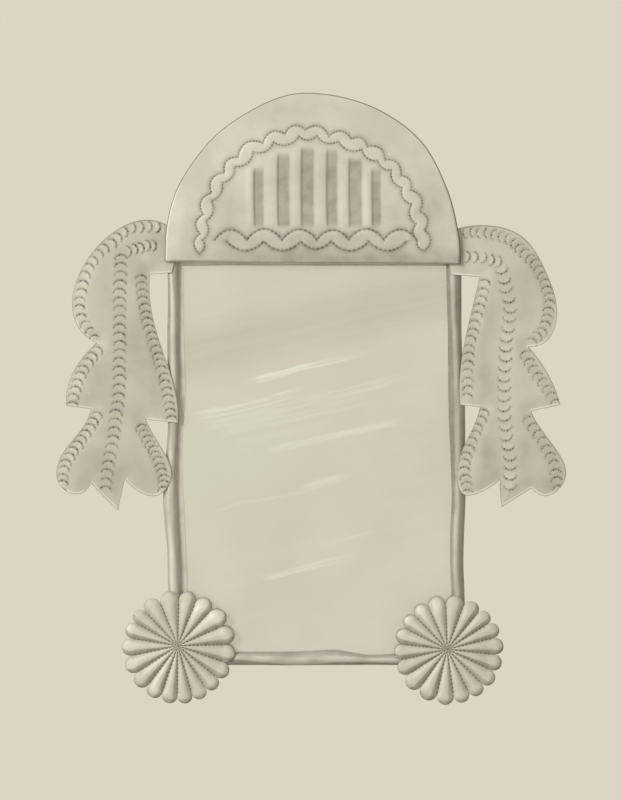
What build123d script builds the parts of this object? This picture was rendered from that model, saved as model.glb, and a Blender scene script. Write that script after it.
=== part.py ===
"""Tin wall mirror: glass in folded channels, half-round beads, lunette, two pendants and two rosettes.

Millimetres. +X is to the viewer's right, +Z is up and the front faces -Y. The origin is the middle of the
flat back sheet, on its rear face, so the wall is the plane y = 0 and a depth is a distance in front of it.
"""

from build123d import *
import os
from math import cos, radians, sin

os.makedirs("parts", exist_ok=True)

# --- Driving dimensions --------------------------------------------------------------------------------

SHEET = 0.4  # tinplate, about 28 gauge

# Frame round the glass: outer half sizes, and how far the folded leaves reach in from the outer edge.
FRAME_HALF_WIDTH = 84.5
FRAME_HALF_HEIGHT = 118.0
LIP_WIDTH = 9.3
REAR_FLANGE_WIDTH = 8.0

GLASS_THICKNESS = 2.3
GLASS_ARRIS = 0.3
CARD_THICKNESS = 1.0
GLASS_CLEARANCE = 1.0  # between the glass and the channel's web, on every side
BACK_LAP = 5.0  # the back sheet stops this far inside the frame's outer edge
BACK_CORNER = 3.0

# Half-round beads on the front lips.
BEAD_RISE = 3.9
LEFT_BEAD_WIDTH = 6.8
RIGHT_BEAD_WIDTH = 8.2
BOTTOM_BEAD_WIDTH = 7.2
BEAD_END = 117.6
BEAD_BEND_RADIUS = 120.0

# Lunette: the face stands proud on a rim that is turned back, and its hem is turned back to the frame.
RIM_DEPTH = 2.7
HEM_HALF_LENGTH = 74.0
HEM_LEFT_Z = 112.8
HEM_RIGHT_Z = 111.4
LUNETTE_LEFT_X = -86.2
LUNETTE_RIGHT_X = 83.0
RIB_WIDTH = 7.0
RIB_RISE = 2.2
RIB_FADE = 6.0
RIB_FOOT_Z = 131.5

# Ribbons: raised bands whose two edges are scallops, half a scallop apart.
RIBBON_RISE = 0.9
RIBBON_HALF_WIDTH = 2.4
RIBBON_BULGE = 4.2
ARCH_CENTRE = (-2.0, 119.4)
ARCH_RADII = (63.4, 67.4)
ARCH_SCALLOPS = 17
SCALLOP_CHORDS = 6
HIDDEN_CHORDS = 3
FOOT_SCALLOPS = 6
FOOT_LEFT_X = -57.4
FOOT_RIGHT_X = 58.0
FOOT_Z = 124.8
FOOT_HALF_WIDTH = 0.8

# Rosettes: petals widen from one middle point and are rounded off at the tip in rings of small facets.
PETALS = 18
PETAL_TIP_RADIUS = 5.4
PETAL_SIDES = 12
PETAL_RING_ANGLES = (0, 35, 68)
ROSETTE_RISE = 3.4
PETAL_TIP_HEIGHT = -2.2
ROSETTE_SKIN = 0.5  # measured along the rosette's axis, so that the sloping flanks come out thinner
LEFT_ROSETTE = {"centre": (-78.2, -107.6), "reach": 27.7, "turn": -1.9}
RIGHT_ROSETTE = {"centre": (76.3, -109.3), "reach": 26.6, "turn": 4.6}

# Hanger behind the lunette: a folded clip with an eye, and a wire ring that swings in it.
WIRE_RADIUS = 0.8
PIN_CLEARANCE = 0.08
CLIP_HALF_WIDTH = 4.5
CLIP_HEIGHT = 14.0
EYE_Z = 186.0
RING_HALF_WIDTH = 7.4
RING_DROP = 16.0
RING_CORNER = 2.4
RING_FOOT_BEND = 7.0
RING_BUTT_GAP = 0.2  # the wire's two ends meet inside the eye
WIRE_FACETS = 8  # the bent wire is drawn with flats, a little inside its round pivot run
WIRE_FACET_EASE = 0.02

# Runs of solder: how long and wide they are, and how far they reach behind what they hold.
SOLDER_LENGTH = 10.0
SOLDER_WIDTH = 1.2
WALL_GAP = 0.05
PENDANT_FILLET = 1.8
ROSETTE_FILLET = 1.1
LUNETTE_FILLET = 1.0
CLIP_SOLDER_LENGTH = 5.4
CLIP_SOLDER_MARGIN = 0.5

# --- Depths in front of the wall, worked out from what lies on what ------------------------------------

FLANGE_BACK = SHEET
CARD_BACK = FLANGE_BACK + SHEET
GLASS_BACK = CARD_BACK + CARD_THICKNESS
LIP_BACK = GLASS_BACK + GLASS_THICKNESS
LIP_FRONT = LIP_BACK + SHEET
BEAD_CREST = LIP_FRONT + BEAD_RISE
PENDANT_FRONT = BEAD_CREST + SHEET
FACE_FRONT = PENDANT_FRONT + RIM_DEPTH
FACE_BACK = FACE_FRONT - SHEET


def save(piece, label):
    """Names a finished piece and writes its STEP file."""
    piece.label = label
    export_step(piece, f"parts/{label}.step")


def outline(plane, spans):
    """Face whose edge runs through the spans in turn: two points are a straight line, more are a curve."""
    with BuildSketch(plane) as sketch:
        with BuildLine():
            for span in spans:
                if len(span) == 2:
                    Line(*span)
                else:
                    Spline(*span)
        make_face()
    return sketch.sketch


def block(low, high):
    """Plain box between two corners, for runs of solder before they are fitted to their seats."""
    size = [b - a for a, b in zip(low, high)]
    middle = [(a + b) / 2 for a, b in zip(low, high)]
    with BuildPart() as body:
        with Locations(tuple(middle)):
            Box(*size)
    return body.part


# --- Glass, card and back sheet ------------------------------------------------------------------------

glass_size = (
    2 * (FRAME_HALF_WIDTH - SHEET - GLASS_CLEARANCE),
    2 * (FRAME_HALF_HEIGHT - SHEET - GLASS_CLEARANCE),
)

with BuildPart() as mirror_glass:
    with BuildSketch(Plane.XZ.offset(GLASS_BACK)):
        Rectangle(*glass_size)
    extrude(amount=GLASS_THICKNESS)
    chamfer(faces().sort_by(Axis.Y)[0].edges(), length=GLASS_ARRIS)

with BuildPart() as packing_card:
    with BuildSketch(Plane.XZ.offset(CARD_BACK)):
        Rectangle(*glass_size)
    extrude(amount=CARD_THICKNESS)

back_size = (2 * (FRAME_HALF_WIDTH - BACK_LAP), 2 * (FRAME_HALF_HEIGHT - BACK_LAP))

with BuildPart() as backing_sheet:
    with BuildSketch(Plane.XZ) as back_face:
        Rectangle(*back_size)
        chamfer(back_face.vertices(), length=BACK_CORNER)
    extrude(amount=SHEET)

# --- Channels: three leaves each, mitred where they meet -----------------------------------------------

corners = [
    Vector(-FRAME_HALF_WIDTH, FRAME_HALF_HEIGHT),
    Vector(-FRAME_HALF_WIDTH, -FRAME_HALF_HEIGHT),
    Vector(FRAME_HALF_WIDTH, -FRAME_HALF_HEIGHT),
    Vector(FRAME_HALF_WIDTH, FRAME_HALF_HEIGHT),
]
inward = [Vector(1, -1), Vector(1, 1), Vector(-1, 1), Vector(-1, -1)]
leaves = [
    (LIP_WIDTH, LIP_BACK, LIP_FRONT),
    (SHEET, FLANGE_BACK, LIP_FRONT),
    (REAR_FLANGE_WIDTH, FLANGE_BACK, CARD_BACK),
]

channels = {}
for index, side in enumerate(["left", "bottom", "right", "top"]):
    after = (index + 1) % len(corners)
    with BuildPart() as channel:
        for width, back, front in leaves:
            with BuildSketch(Plane.XZ.offset(back)):
                with BuildLine():
                    Polyline(
                        corners[index],
                        corners[after],
                        corners[after] + inward[after] * width,
                        corners[index] + inward[index] * width,
                        close=True,
                    )
                make_face()
            extrude(amount=front - back)
    channels[side] = channel.part

# --- Beads: a half-round section carried along straight runs and slow bends, as bent by hand -----------


def bead(route, width, wall):
    """Half-round moulding along a route of (x, z) points; a wall of 0 leaves it solid."""
    half = width / 2
    with BuildPart() as body:
        with BuildLine(Plane.XZ.offset(LIP_FRONT)) as path:
            FilletPolyline(*route, radius=BEAD_BEND_RADIUS)
        middle_line = path.line
        run = middle_line % 0
        forward = Vector(0, -1, 0)
        with BuildSketch(Plane(origin=middle_line @ 0, x_dir=forward.cross(run), z_dir=run)):
            with BuildLine():
                ThreePointArc((-half, 0), (0, BEAD_RISE), (half, 0))
                if wall:
                    Line((half, 0), (half - wall, 0))
                    ThreePointArc((half - wall, 0), (0, BEAD_RISE - wall), (wall - half, 0))
                    Line((wall - half, 0), (-half, 0))
                else:
                    Line((half, 0), (-half, 0))
            make_face()
        sweep(path=middle_line)
    return body.part


bead_routes = {
    "left": (
        LEFT_BEAD_WIDTH,
        [(-80.8, -BEAD_END), (-80.8, -72), (-82.8, -30), (-81.1, 22), (-81.3, BEAD_END)],
    ),
    "right": (
        RIGHT_BEAD_WIDTH,
        [(81.6, -BEAD_END), (80.9, -62), (81.9, -18), (78.7, BEAD_END)],
    ),
    "bottom": (
        BOTTOM_BEAD_WIDTH,
        [(-76.9, -114.2), (10, -113.6), (36, -114.9), (76.6, -114.2)],
    ),
}
beads = {side: bead(route, width, SHEET) for side, (width, route) in bead_routes.items()}
bead_fillings = {side: bead(route, width, 0) for side, (width, route) in bead_routes.items()}

# --- Lunette -------------------------------------------------------------------------------------------

arch_edge = [
    (LUNETTE_LEFT_X, HEM_LEFT_Z),
    (-84.7, 135.5),
    (-76.4, 159.8),
    (-54.9, 186.9),
    (-23.3, 205.7),
    (3.0, 209.1),
    (34.0, 200.6),
    (60.1, 182.0),
    (75.2, 154.6),
    (81.8, 129.0),
    (LUNETTE_RIGHT_X, HEM_RIGHT_Z),
]


def hem_z(x):
    """Height of the lunette's foot, which falls a little from left to right."""
    share = (x - LUNETTE_LEFT_X) / (LUNETTE_RIGHT_X - LUNETTE_LEFT_X)
    return HEM_LEFT_Z + share * (HEM_RIGHT_Z - HEM_LEFT_Z)


def strip(low_x, high_x, rise):
    """Outline of a strip that lies on the lunette's foot line and is as high as rise."""
    return [
        (low_x, hem_z(low_x)),
        (high_x, hem_z(high_x)),
        (high_x, hem_z(high_x) + rise),
        (low_x, hem_z(low_x) + rise),
    ]


def rib(x, crown_z, inset):
    """Upright half-round rib, cut at a slant at both ends; the inset is for the hollow behind it."""
    radius = ((RIB_WIDTH / 2) ** 2 + RIB_RISE**2) / (2 * RIB_RISE)
    depth = FACE_FRONT + RIB_RISE - radius
    middle_z = (RIB_FOOT_Z + crown_z) / 2
    with BuildPart() as body:
        with Locations((x, -depth, middle_z)):
            Cylinder(radius - inset, crown_z - RIB_FOOT_Z)
        split(bisect_by=Plane.XZ.offset(FACE_BACK), keep=Keep.TOP)
        for end_z, inward_z in ((RIB_FOOT_Z, 1), (crown_z, -1)):
            corner = (x, -FACE_FRONT + inset, end_z + inward_z * inset)
            split(bisect_by=Plane(corner, x_dir=(1, 0, 0), z_dir=(0, RIB_FADE, inward_z * RIB_RISE)))
    return body.part


def scallops(cusps, chords):
    """Arcs from cusp to cusp, bulging to the left of the way they run, each struck as a few chords."""
    for start, end in zip(cusps, cusps[1:]):
        arc = SagittaArc(start, end, RIBBON_BULGE, mode=Mode.PRIVATE)
        Polyline(*[arc @ (step / chords) for step in range(chords + 1)])


def ribbon(upper, lower, inset):
    """Raised band between two chains of scallops, or with an inset the hollow behind it."""
    front, chords = (FACE_BACK, HIDDEN_CHORDS) if inset else (FACE_FRONT, SCALLOP_CHORDS)
    with BuildPart() as body:
        with BuildSketch(Plane.XZ.offset(FACE_BACK)):
            with BuildLine():
                scallops(upper, chords)
                Line(upper[-1], lower[-1])
                scallops(lower[::-1], chords)
                Line(lower[0], upper[0])
            make_face()
        extrude(amount=front + RIBBON_RISE - FACE_BACK)
    return body.part


def arch_cusps(offset, count, first):
    """Cusps on the arch ribbon, off its middle line by offset, from the left end to the right."""
    cusps = []
    for index in range(count):
        angle = radians(180 * (1 - (index + first) / ARCH_SCALLOPS))
        x = ARCH_CENTRE[0] + (ARCH_RADII[0] + offset) * cos(angle)
        z = ARCH_CENTRE[1] + (ARCH_RADII[1] + offset) * sin(angle)
        cusps.append((x, z))
    return cusps


def foot_cusps(offset, count, first):
    """Cusps on the foot ribbon, above or below its middle line by offset, from left to right."""
    pitch = (FOOT_RIGHT_X - FOOT_LEFT_X) / FOOT_SCALLOPS
    return [(FOOT_LEFT_X + pitch * (index + first), FOOT_Z + offset) for index in range(count)]


def arch_ribbon(inset):
    """Ribbon round the arch; the inset draws both edges in, for the hollow behind it."""
    half = RIBBON_HALF_WIDTH - inset
    outer = arch_cusps(half, ARCH_SCALLOPS + 1, 0)
    inner = arch_cusps(-half, ARCH_SCALLOPS, 0.5)
    return ribbon(outer, inner, inset)


def foot_ribbon(inset):
    """Ribbon along the foot; its cusps nearly meet its middle line."""
    half = FOOT_HALF_WIDTH - inset
    upper = foot_cusps(half, FOOT_SCALLOPS + 1, 0)
    lower = foot_cusps(-half, FOOT_SCALLOPS, 0.5)
    return ribbon(upper, lower, inset)


rib_places = [(-37.7, 165.5), (-25.4, 172.0), (-11.1, 176.0), (2.6, 177.6), (16.1, 175.4), (29.7, 170.0)]
relief = [rib(x, crown_z, 0) for x, crown_z in rib_places]
hollows = [rib(x, crown_z, SHEET) for x, crown_z in rib_places]
relief += [arch_ribbon(0), foot_ribbon(0)]
hollows += [arch_ribbon(SHEET), foot_ribbon(SHEET)]

arch_spans = [arch_edge, [arch_edge[-1], arch_edge[0]]]

with BuildPart() as lunette:
    extrude(outline(Plane.XZ.offset(PENDANT_FRONT), arch_spans), amount=RIM_DEPTH)
    offset(amount=-SHEET, openings=faces().sort_by(Axis.Y)[-1])
    with BuildSketch(Plane.XZ.offset(LIP_FRONT)):
        with BuildLine():
            Polyline(*strip(-HEM_HALF_LENGTH, HEM_HALF_LENGTH, SHEET), close=True)
        make_face()
    extrude(amount=FACE_BACK - LIP_FRONT)
    for piece in relief:
        add(piece)
    for hollow in hollows:
        add(hollow, mode=Mode.SUBTRACT)

# --- Pendants: flat sheets with a scalloped edge, cut by hand, so the two differ -----------------------

left_edge = [
    [(-84.8, 133.6), (-98.0, 136.7), (-117.4, 128.3), (-133.4, 109.1), (-139.0, 86.3), (-134.6, 73.7),
     (-125.1, 66.6)],
    [(-125.1, 66.6), (-134.6, 56.0), (-141.0, 43.5), (-142.4, 30.4)],
    [(-142.4, 30.4), (-128.3, 28.6)],
    [(-128.3, 28.6), (-137.0, 13.0), (-146.6, -1.0), (-147.2, -13.0), (-138.6, -20.0), (-128.3, -13.7)],
    [(-128.3, -13.7), (-120.9, -21.7), (-112.9, -29.4)],
    [(-112.9, -29.4), (-111.6, -23.0), (-108.9, -11.1)],
    [(-108.9, -11.1), (-101.5, -18.3), (-90.0, -20.8), (-82.5, -10.5), (-88.0, 6.5), (-96.9, 22.5)],
    [(-96.9, 22.5), (-78.7, 20.6)],
    [(-78.7, 20.6), (-79.1, 33.1), (-88.6, 65.5), (-94.2, 88.0), (-94.6, 105.4)],
    [(-94.6, 105.4), (-82.0, 106.4)],
    [(-82.0, 106.4), (-80.6, 113.0), (-80.6, 128.0), (-84.8, 133.6)],
]

right_edge = [
    [(80.6, 131.5), (99.0, 133.5), (117.2, 127.8), (132.6, 105.0), (137.8, 88.0), (133.4, 68.7),
     (121.7, 64.0)],
    [(121.7, 64.0), (131.5, 51.0), (140.0, 30.9)],
    [(140.0, 30.9), (123.4, 27.4)],
    [(123.4, 27.4), (134.4, 9.8), (142.7, -11.4), (133.4, -20.9), (123.4, -16.7)],
    [(123.4, -16.7), (106.6, -27.4)],
    [(106.6, -27.4), (105.4, -18.9), (105.4, -11.4)],
    [(105.4, -11.4), (94.4, -19.0), (85.0, -20.5), (81.0, -6.3), (86.6, 11.0), (94.0, 29.7)],
    [(94.0, 29.7), (82.6, 30.9)],
    [(82.6, 30.9), (83.2, 55.0), (88.0, 80.0), (93.8, 104.0)],
    [(93.8, 104.0), (77.4, 105.3)],
    [(77.4, 105.3), (76.8, 120.0), (80.6, 131.5)],
]

with BuildPart() as left_pendant:
    extrude(outline(Plane.XZ.offset(BEAD_CREST), left_edge), amount=SHEET)

with BuildPart() as right_pendant:
    extrude(outline(Plane.XZ.offset(BEAD_CREST), right_edge), amount=SHEET)

# --- Rosettes: each petal is a thin shell in its own sector, so neighbours meet along a valley ---------


def petal_body(reach, drop):
    """Solid petal from the middle point out along +X, lowered by drop for the inside of its skin."""
    middle = Vector(0, 0, ROSETTE_RISE - drop)
    tip = Vector(reach, 0, PETAL_TIP_HEIGHT - drop)
    axis = tip - middle
    along = axis.normalized()
    across = Vector(0, 1, 0)
    upward = along.cross(across)
    points = [middle]
    for ring_angle in PETAL_RING_ANGLES:
        ring_centre = tip + along * PETAL_TIP_RADIUS * sin(radians(ring_angle))
        ring_radius = PETAL_TIP_RADIUS * cos(radians(ring_angle))
        for side in range(PETAL_SIDES):
            turn = radians(360 * (side + 0.5) / PETAL_SIDES)
            points.append(ring_centre + (across * cos(turn) + upward * sin(turn)) * ring_radius)
    with BuildPart() as body:
        ConvexPolyhedron(points)
    return body.part


def rosette(centre, reach, turn):
    """Fluted dome about a centre given as (x, z), standing on the beads' crests."""
    middle = Vector(0, 0, ROSETTE_RISE)
    tip = Vector(reach, 0, PETAL_TIP_HEIGHT)
    slope = tip - middle
    span = reach + 2 * PETAL_TIP_RADIUS
    half_sector = 180 / PETALS
    with BuildPart() as petal:
        add(petal_body(reach, 0))
        add(petal_body(reach, ROSETTE_SKIN), mode=Mode.SUBTRACT)
        # Only the half above the petal's axis is skin, and the dome stops at its foot.
        through_axis = Plane(
            origin=middle - Vector(0, 0, ROSETTE_SKIN), x_dir=slope, z_dir=slope.cross(Vector(0, 1, 0))
        )
        split(bisect_by=through_axis, keep=Keep.TOP)
        with BuildSketch(Plane.XY):
            with BuildLine():
                edge_up = PolarLine((0, 0), span, half_sector)
                edge_down = PolarLine((0, 0), span, -half_sector)
                Line(edge_up @ 1, edge_down @ 1)
            make_face()
        extrude(amount=span, mode=Mode.INTERSECT)
    foot = Plane(origin=(centre[0], -BEAD_CREST, centre[1]), x_dir=(1, 0, 0), z_dir=(0, -1, 0))
    with BuildPart(foot) as dome:
        with PolarLocations(0, PETALS, start_angle=turn):
            add(petal.part)
    return dome.part


left_rosette = rosette(**LEFT_ROSETTE)
right_rosette = rosette(**RIGHT_ROSETTE)

# --- Hanger: a clip folded from one strip, with an eye at its foot, and the wire ring in it ------------

eye_depth = FACE_BACK - SHEET - WIRE_RADIUS - PIN_CLEARANCE
eye_radius = WIRE_RADIUS + PIN_CLEARANCE

with BuildPart() as hanger_clip:
    with Locations((0, -FACE_BACK + SHEET, EYE_Z + CLIP_HEIGHT / 2)):
        Box(2 * CLIP_HALF_WIDTH, 2 * SHEET, CLIP_HEIGHT)
    with Locations(Plane(origin=(0, -eye_depth, EYE_Z), z_dir=(1, 0, 0))):
        Cylinder(eye_radius + SHEET, 2 * CLIP_HALF_WIDTH)
        Cylinder(eye_radius, 2 * CLIP_HALF_WIDTH, mode=Mode.SUBTRACT)

ring_foot = EYE_Z - RING_DROP
ring_route = [
    (RING_BUTT_GAP / 2, EYE_Z),
    (RING_HALF_WIDTH, EYE_Z),
    (RING_HALF_WIDTH, ring_foot),
    (-RING_HALF_WIDTH, ring_foot),
    (-RING_HALF_WIDTH, EYE_Z),
    (-RING_BUTT_GAP / 2, EYE_Z),
]
ring_bends = [RING_CORNER, RING_FOOT_BEND, RING_FOOT_BEND, RING_CORNER]

with BuildPart() as hanging_ring:
    with BuildLine(Plane.XZ.offset(eye_depth)) as ring_line:
        FilletPolyline(*ring_route, radius=ring_bends)
    with BuildSketch(Plane(origin=ring_line.line @ 0, z_dir=ring_line.line % 0)):
        RegularPolygon(WIRE_RADIUS - WIRE_FACET_EASE, WIRE_FACETS)
    sweep(path=ring_line.line)
    with Locations(Plane(origin=(0, -eye_depth, EYE_Z), z_dir=(1, 0, 0))):
        Cylinder(WIRE_RADIUS, 2 * (RING_HALF_WIDTH - RING_CORNER))
        Cylinder(2 * WIRE_RADIUS, RING_BUTT_GAP, mode=Mode.SUBTRACT)

# --- Solder: short runs in the corners where the sheets meet -------------------------------------------

back_x, back_z = back_size[0] / 2, back_size[1] / 2
off_edge = SOLDER_WIDTH / 2
back_places = [(side * (back_x + off_edge), z, 0) for side in (-1, 1) for z in (-70, 0, 70)]
back_places += [(x, side * (back_z + off_edge), 90) for side in (-1, 1) for x in (-40, 40)]

with BuildPart() as backing_solder:
    with BuildSketch(Plane.XZ.offset(WALL_GAP)):
        for x, z, turn in back_places:
            with Locations((x, z)):
                Rectangle(SOLDER_WIDTH, SOLDER_LENGTH, rotation=turn)
    extrude(amount=SHEET - WALL_GAP)


def fillets(runs_by_bead, reach):
    """Solder behind a piece on the beads: the (x, z) corners of each run, fitted to the bead it touches."""
    with BuildPart() as body:
        for side, runs in runs_by_bead.items():
            for (low_x, low_z), (high_x, high_z) in runs:
                add(block((low_x, -BEAD_CREST, low_z), (high_x, reach - BEAD_CREST, high_z)))
            add(bead_fillings[side], mode=Mode.SUBTRACT)
    return body.part


pendant_solder = fillets(
    {
        "left": [((-87.3, 26), (-83.2, 36)), ((-87.3, 107), (-83.2, 117))],
        "right": [((83.3, -12), (87.6, -2)), ((81.4, 107), (85.6, 117))],
    },
    PENDANT_FILLET,
)
rosette_solder = fillets(
    {
        "left": [((-84.0, -78.6), (-81.5, -75.6)), ((-79.9, -79.6), (-77.8, -76.9))],
        "right": [((77.2, -81.2), (80.3, -78.2)), ((82.0, -84.0), (84.4, -81.0))],
        "bottom": [
            ((-50.6, -117.3), (-48.1, -114.9)),
            ((-49.6, -112.8), (-47.0, -110.7)),
            ((47.6, -118.1), (50.2, -115.7)),
            ((45.3, -113.8), (48.0, -111.4)),
        ],
    },
    ROSETTE_FILLET,
)

with BuildPart() as lunette_solder:
    with BuildSketch(Plane.XZ.offset(LIP_FRONT)):
        for x in (-55, 0, 55):
            ends = (x - SOLDER_LENGTH / 2, x + SOLDER_LENGTH / 2)
            with BuildLine():
                low = [(end, hem_z(end) + SHEET) for end in ends]
                high = [(end, hem_z(end) + SHEET + SOLDER_WIDTH) for end in ends[::-1]]
                Polyline(*low, *high, close=True)
            make_face()
    extrude(amount=SOLDER_WIDTH)
    for low_x, high_x in ((-85.6, -83.6), (80.4, 82.5)):
        add(block((low_x, -PENDANT_FRONT - LUNETTE_FILLET, 115), (high_x, -PENDANT_FRONT, 121)))
    add(lunette.part, mode=Mode.SUBTRACT)

clip_solder_z = EYE_Z + CLIP_HEIGHT - CLIP_SOLDER_MARGIN - CLIP_SOLDER_LENGTH / 2

with BuildPart() as hanger_solder:
    for side in (-1, 1):
        with Locations((side * (CLIP_HALF_WIDTH + off_edge), -FACE_BACK + SHEET / 2, clip_solder_z)):
            Box(SOLDER_WIDTH, SHEET, CLIP_SOLDER_LENGTH)

# --- One STEP for each piece ---------------------------------------------------------------------------

pieces = {
    "mirror_glass": mirror_glass.part,
    "packing_card": packing_card.part,
    "backing_sheet": backing_sheet.part,
    "lunette": lunette.part,
    "left_pendant": left_pendant.part,
    "right_pendant": right_pendant.part,
    "left_rosette": left_rosette,
    "right_rosette": right_rosette,
    "hanger_clip": hanger_clip.part,
    "hanging_ring": hanging_ring.part,
    "backing_solder": backing_solder.part,
    "lunette_solder": lunette_solder.part,
    "pendant_solder": pendant_solder,
    "rosette_solder": rosette_solder,
    "hanger_solder": hanger_solder.part,
}
pieces.update({f"{side}_channel": channel for side, channel in channels.items()})
pieces.update({f"{side}_bead": half_round for side, half_round in beads.items()})

for label, piece in pieces.items():
    save(piece, label)
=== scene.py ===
"""Looks of a tin wall mirror: embossed sheets, hand-bent beads, fluted rosettes, old glass and a wire hanger.

Metres, in the part's own frame: +X to the viewer's right, +Z up, the front faces -Y and the wall is y = 0.
Sizes that a maker would give in millimetres are written with the factor MM.
"""

import logging
import math
import random
from collections.abc import Callable, Iterator, Mapping, Sequence
from contextlib import contextmanager
from dataclasses import dataclass, field
from enum import Enum
from typing import Protocol

import bpy
import numpy as np
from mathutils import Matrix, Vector


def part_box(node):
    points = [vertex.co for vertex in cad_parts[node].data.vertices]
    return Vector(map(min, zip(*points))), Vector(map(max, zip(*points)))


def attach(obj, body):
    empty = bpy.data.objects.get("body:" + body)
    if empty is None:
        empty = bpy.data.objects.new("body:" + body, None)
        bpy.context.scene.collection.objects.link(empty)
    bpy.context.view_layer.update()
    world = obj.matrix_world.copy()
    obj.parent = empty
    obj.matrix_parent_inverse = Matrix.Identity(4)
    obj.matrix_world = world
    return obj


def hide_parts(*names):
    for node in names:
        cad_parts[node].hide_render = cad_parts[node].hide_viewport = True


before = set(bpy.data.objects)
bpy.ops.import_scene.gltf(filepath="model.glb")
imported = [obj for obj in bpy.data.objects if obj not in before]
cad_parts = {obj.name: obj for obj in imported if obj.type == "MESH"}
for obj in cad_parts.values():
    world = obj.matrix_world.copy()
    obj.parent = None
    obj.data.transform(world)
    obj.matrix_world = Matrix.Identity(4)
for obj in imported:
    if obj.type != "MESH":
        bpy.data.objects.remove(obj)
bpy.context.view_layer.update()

log = logging.getLogger("tin_mirror")

MM = 0.001
SHEET = 0.4 * MM
MEASURED_AT_ONCE = 3000

# Depths in front of the wall, as the pieces lie on each other.
LIP_FRONT = 4.5 * MM
BEAD_CREST = 8.4 * MM
PENDANT_FRONT = 8.8 * MM
FACE_FRONT = 11.5 * MM

Point = tuple[float, float]
Spot = tuple[float, float, float]
Colour = tuple[float, float, float, float]
Piece = bpy.types.Object
Values = np.ndarray
Measured = tuple[Values, Values, Values]


def srgb(red: int, green: int, blue: int) -> Colour:
    """Linear colour of an 8-bit screen colour.

    Args:
        red: Red level, 0 to 255.
        green: Green level, 0 to 255.
        blue: Blue level, 0 to 255.

    Returns:
        Linear red, green, blue and an alpha of 1.
    """
    levels = [level / 255 for level in (red, green, blue)]
    linear = [v / 12.92 if v <= 0.04045 else ((v + 0.055) / 1.055) ** 2.4 for v in levels]
    return (linear[0], linear[1], linear[2], 1.0)


def ease(low: float, high: float, value: Values) -> Values:
    """Smooth step from 0 at low to 1 at high.

    Args:
        low: Where the step starts.
        high: Where the step ends.
        value: Values to step.

    Returns:
        The steps, each from 0 to 1.
    """
    share = np.clip((value - low) / (high - low), 0, 1)
    return share * share * (3 - 2 * share)


def rise(low: float, high: float, value: Values) -> Values:
    """Smooth step from 0 at low to 1 at high, both in millimetres."""
    return ease(low * MM, high * MM, value)


def fall(low: float, high: float, value: Values) -> Values:
    """Smooth step from 1 at low to 0 at high, both in millimetres."""
    return 1 - ease(low * MM, high * MM, value)


def bell(value: Values, width: float) -> Values:
    """Bell curve that is 1 at 0 and has faded to about a third at the width."""
    return np.exp(-((value / width) ** 2))


def metres(pairs: Sequence[Point]) -> list[Point]:
    """Pairs of millimetres in metres."""
    return [(first * MM, second * MM) for first, second in pairs]


# --- Shader graph ---------------------------------------------------------------------


class Wire:
    """Output of a shader node on which Python's arithmetic adds Math nodes."""

    def __init__(self, graph: "Graph", socket: bpy.types.NodeSocket) -> None:
        """Wraps an output socket of a graph's node."""
        self.graph = graph
        self.socket = socket

    def __add__(self, other: "Wire | float") -> "Wire":
        """Sum."""
        return self.graph.maths("ADD", self, other)

    def __radd__(self, other: float) -> "Wire":
        """Sum with a number on the left."""
        return self.graph.maths("ADD", other, self)

    def __sub__(self, other: "Wire | float") -> "Wire":
        """Difference."""
        return self.graph.maths("SUBTRACT", self, other)

    def __rsub__(self, other: float) -> "Wire":
        """Difference from a number on the left."""
        return self.graph.maths("SUBTRACT", other, self)

    def __mul__(self, other: "Wire | float") -> "Wire":
        """Product."""
        return self.graph.maths("MULTIPLY", self, other)

    def __rmul__(self, other: float) -> "Wire":
        """Product with a number on the left."""
        return self.graph.maths("MULTIPLY", other, self)


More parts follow.
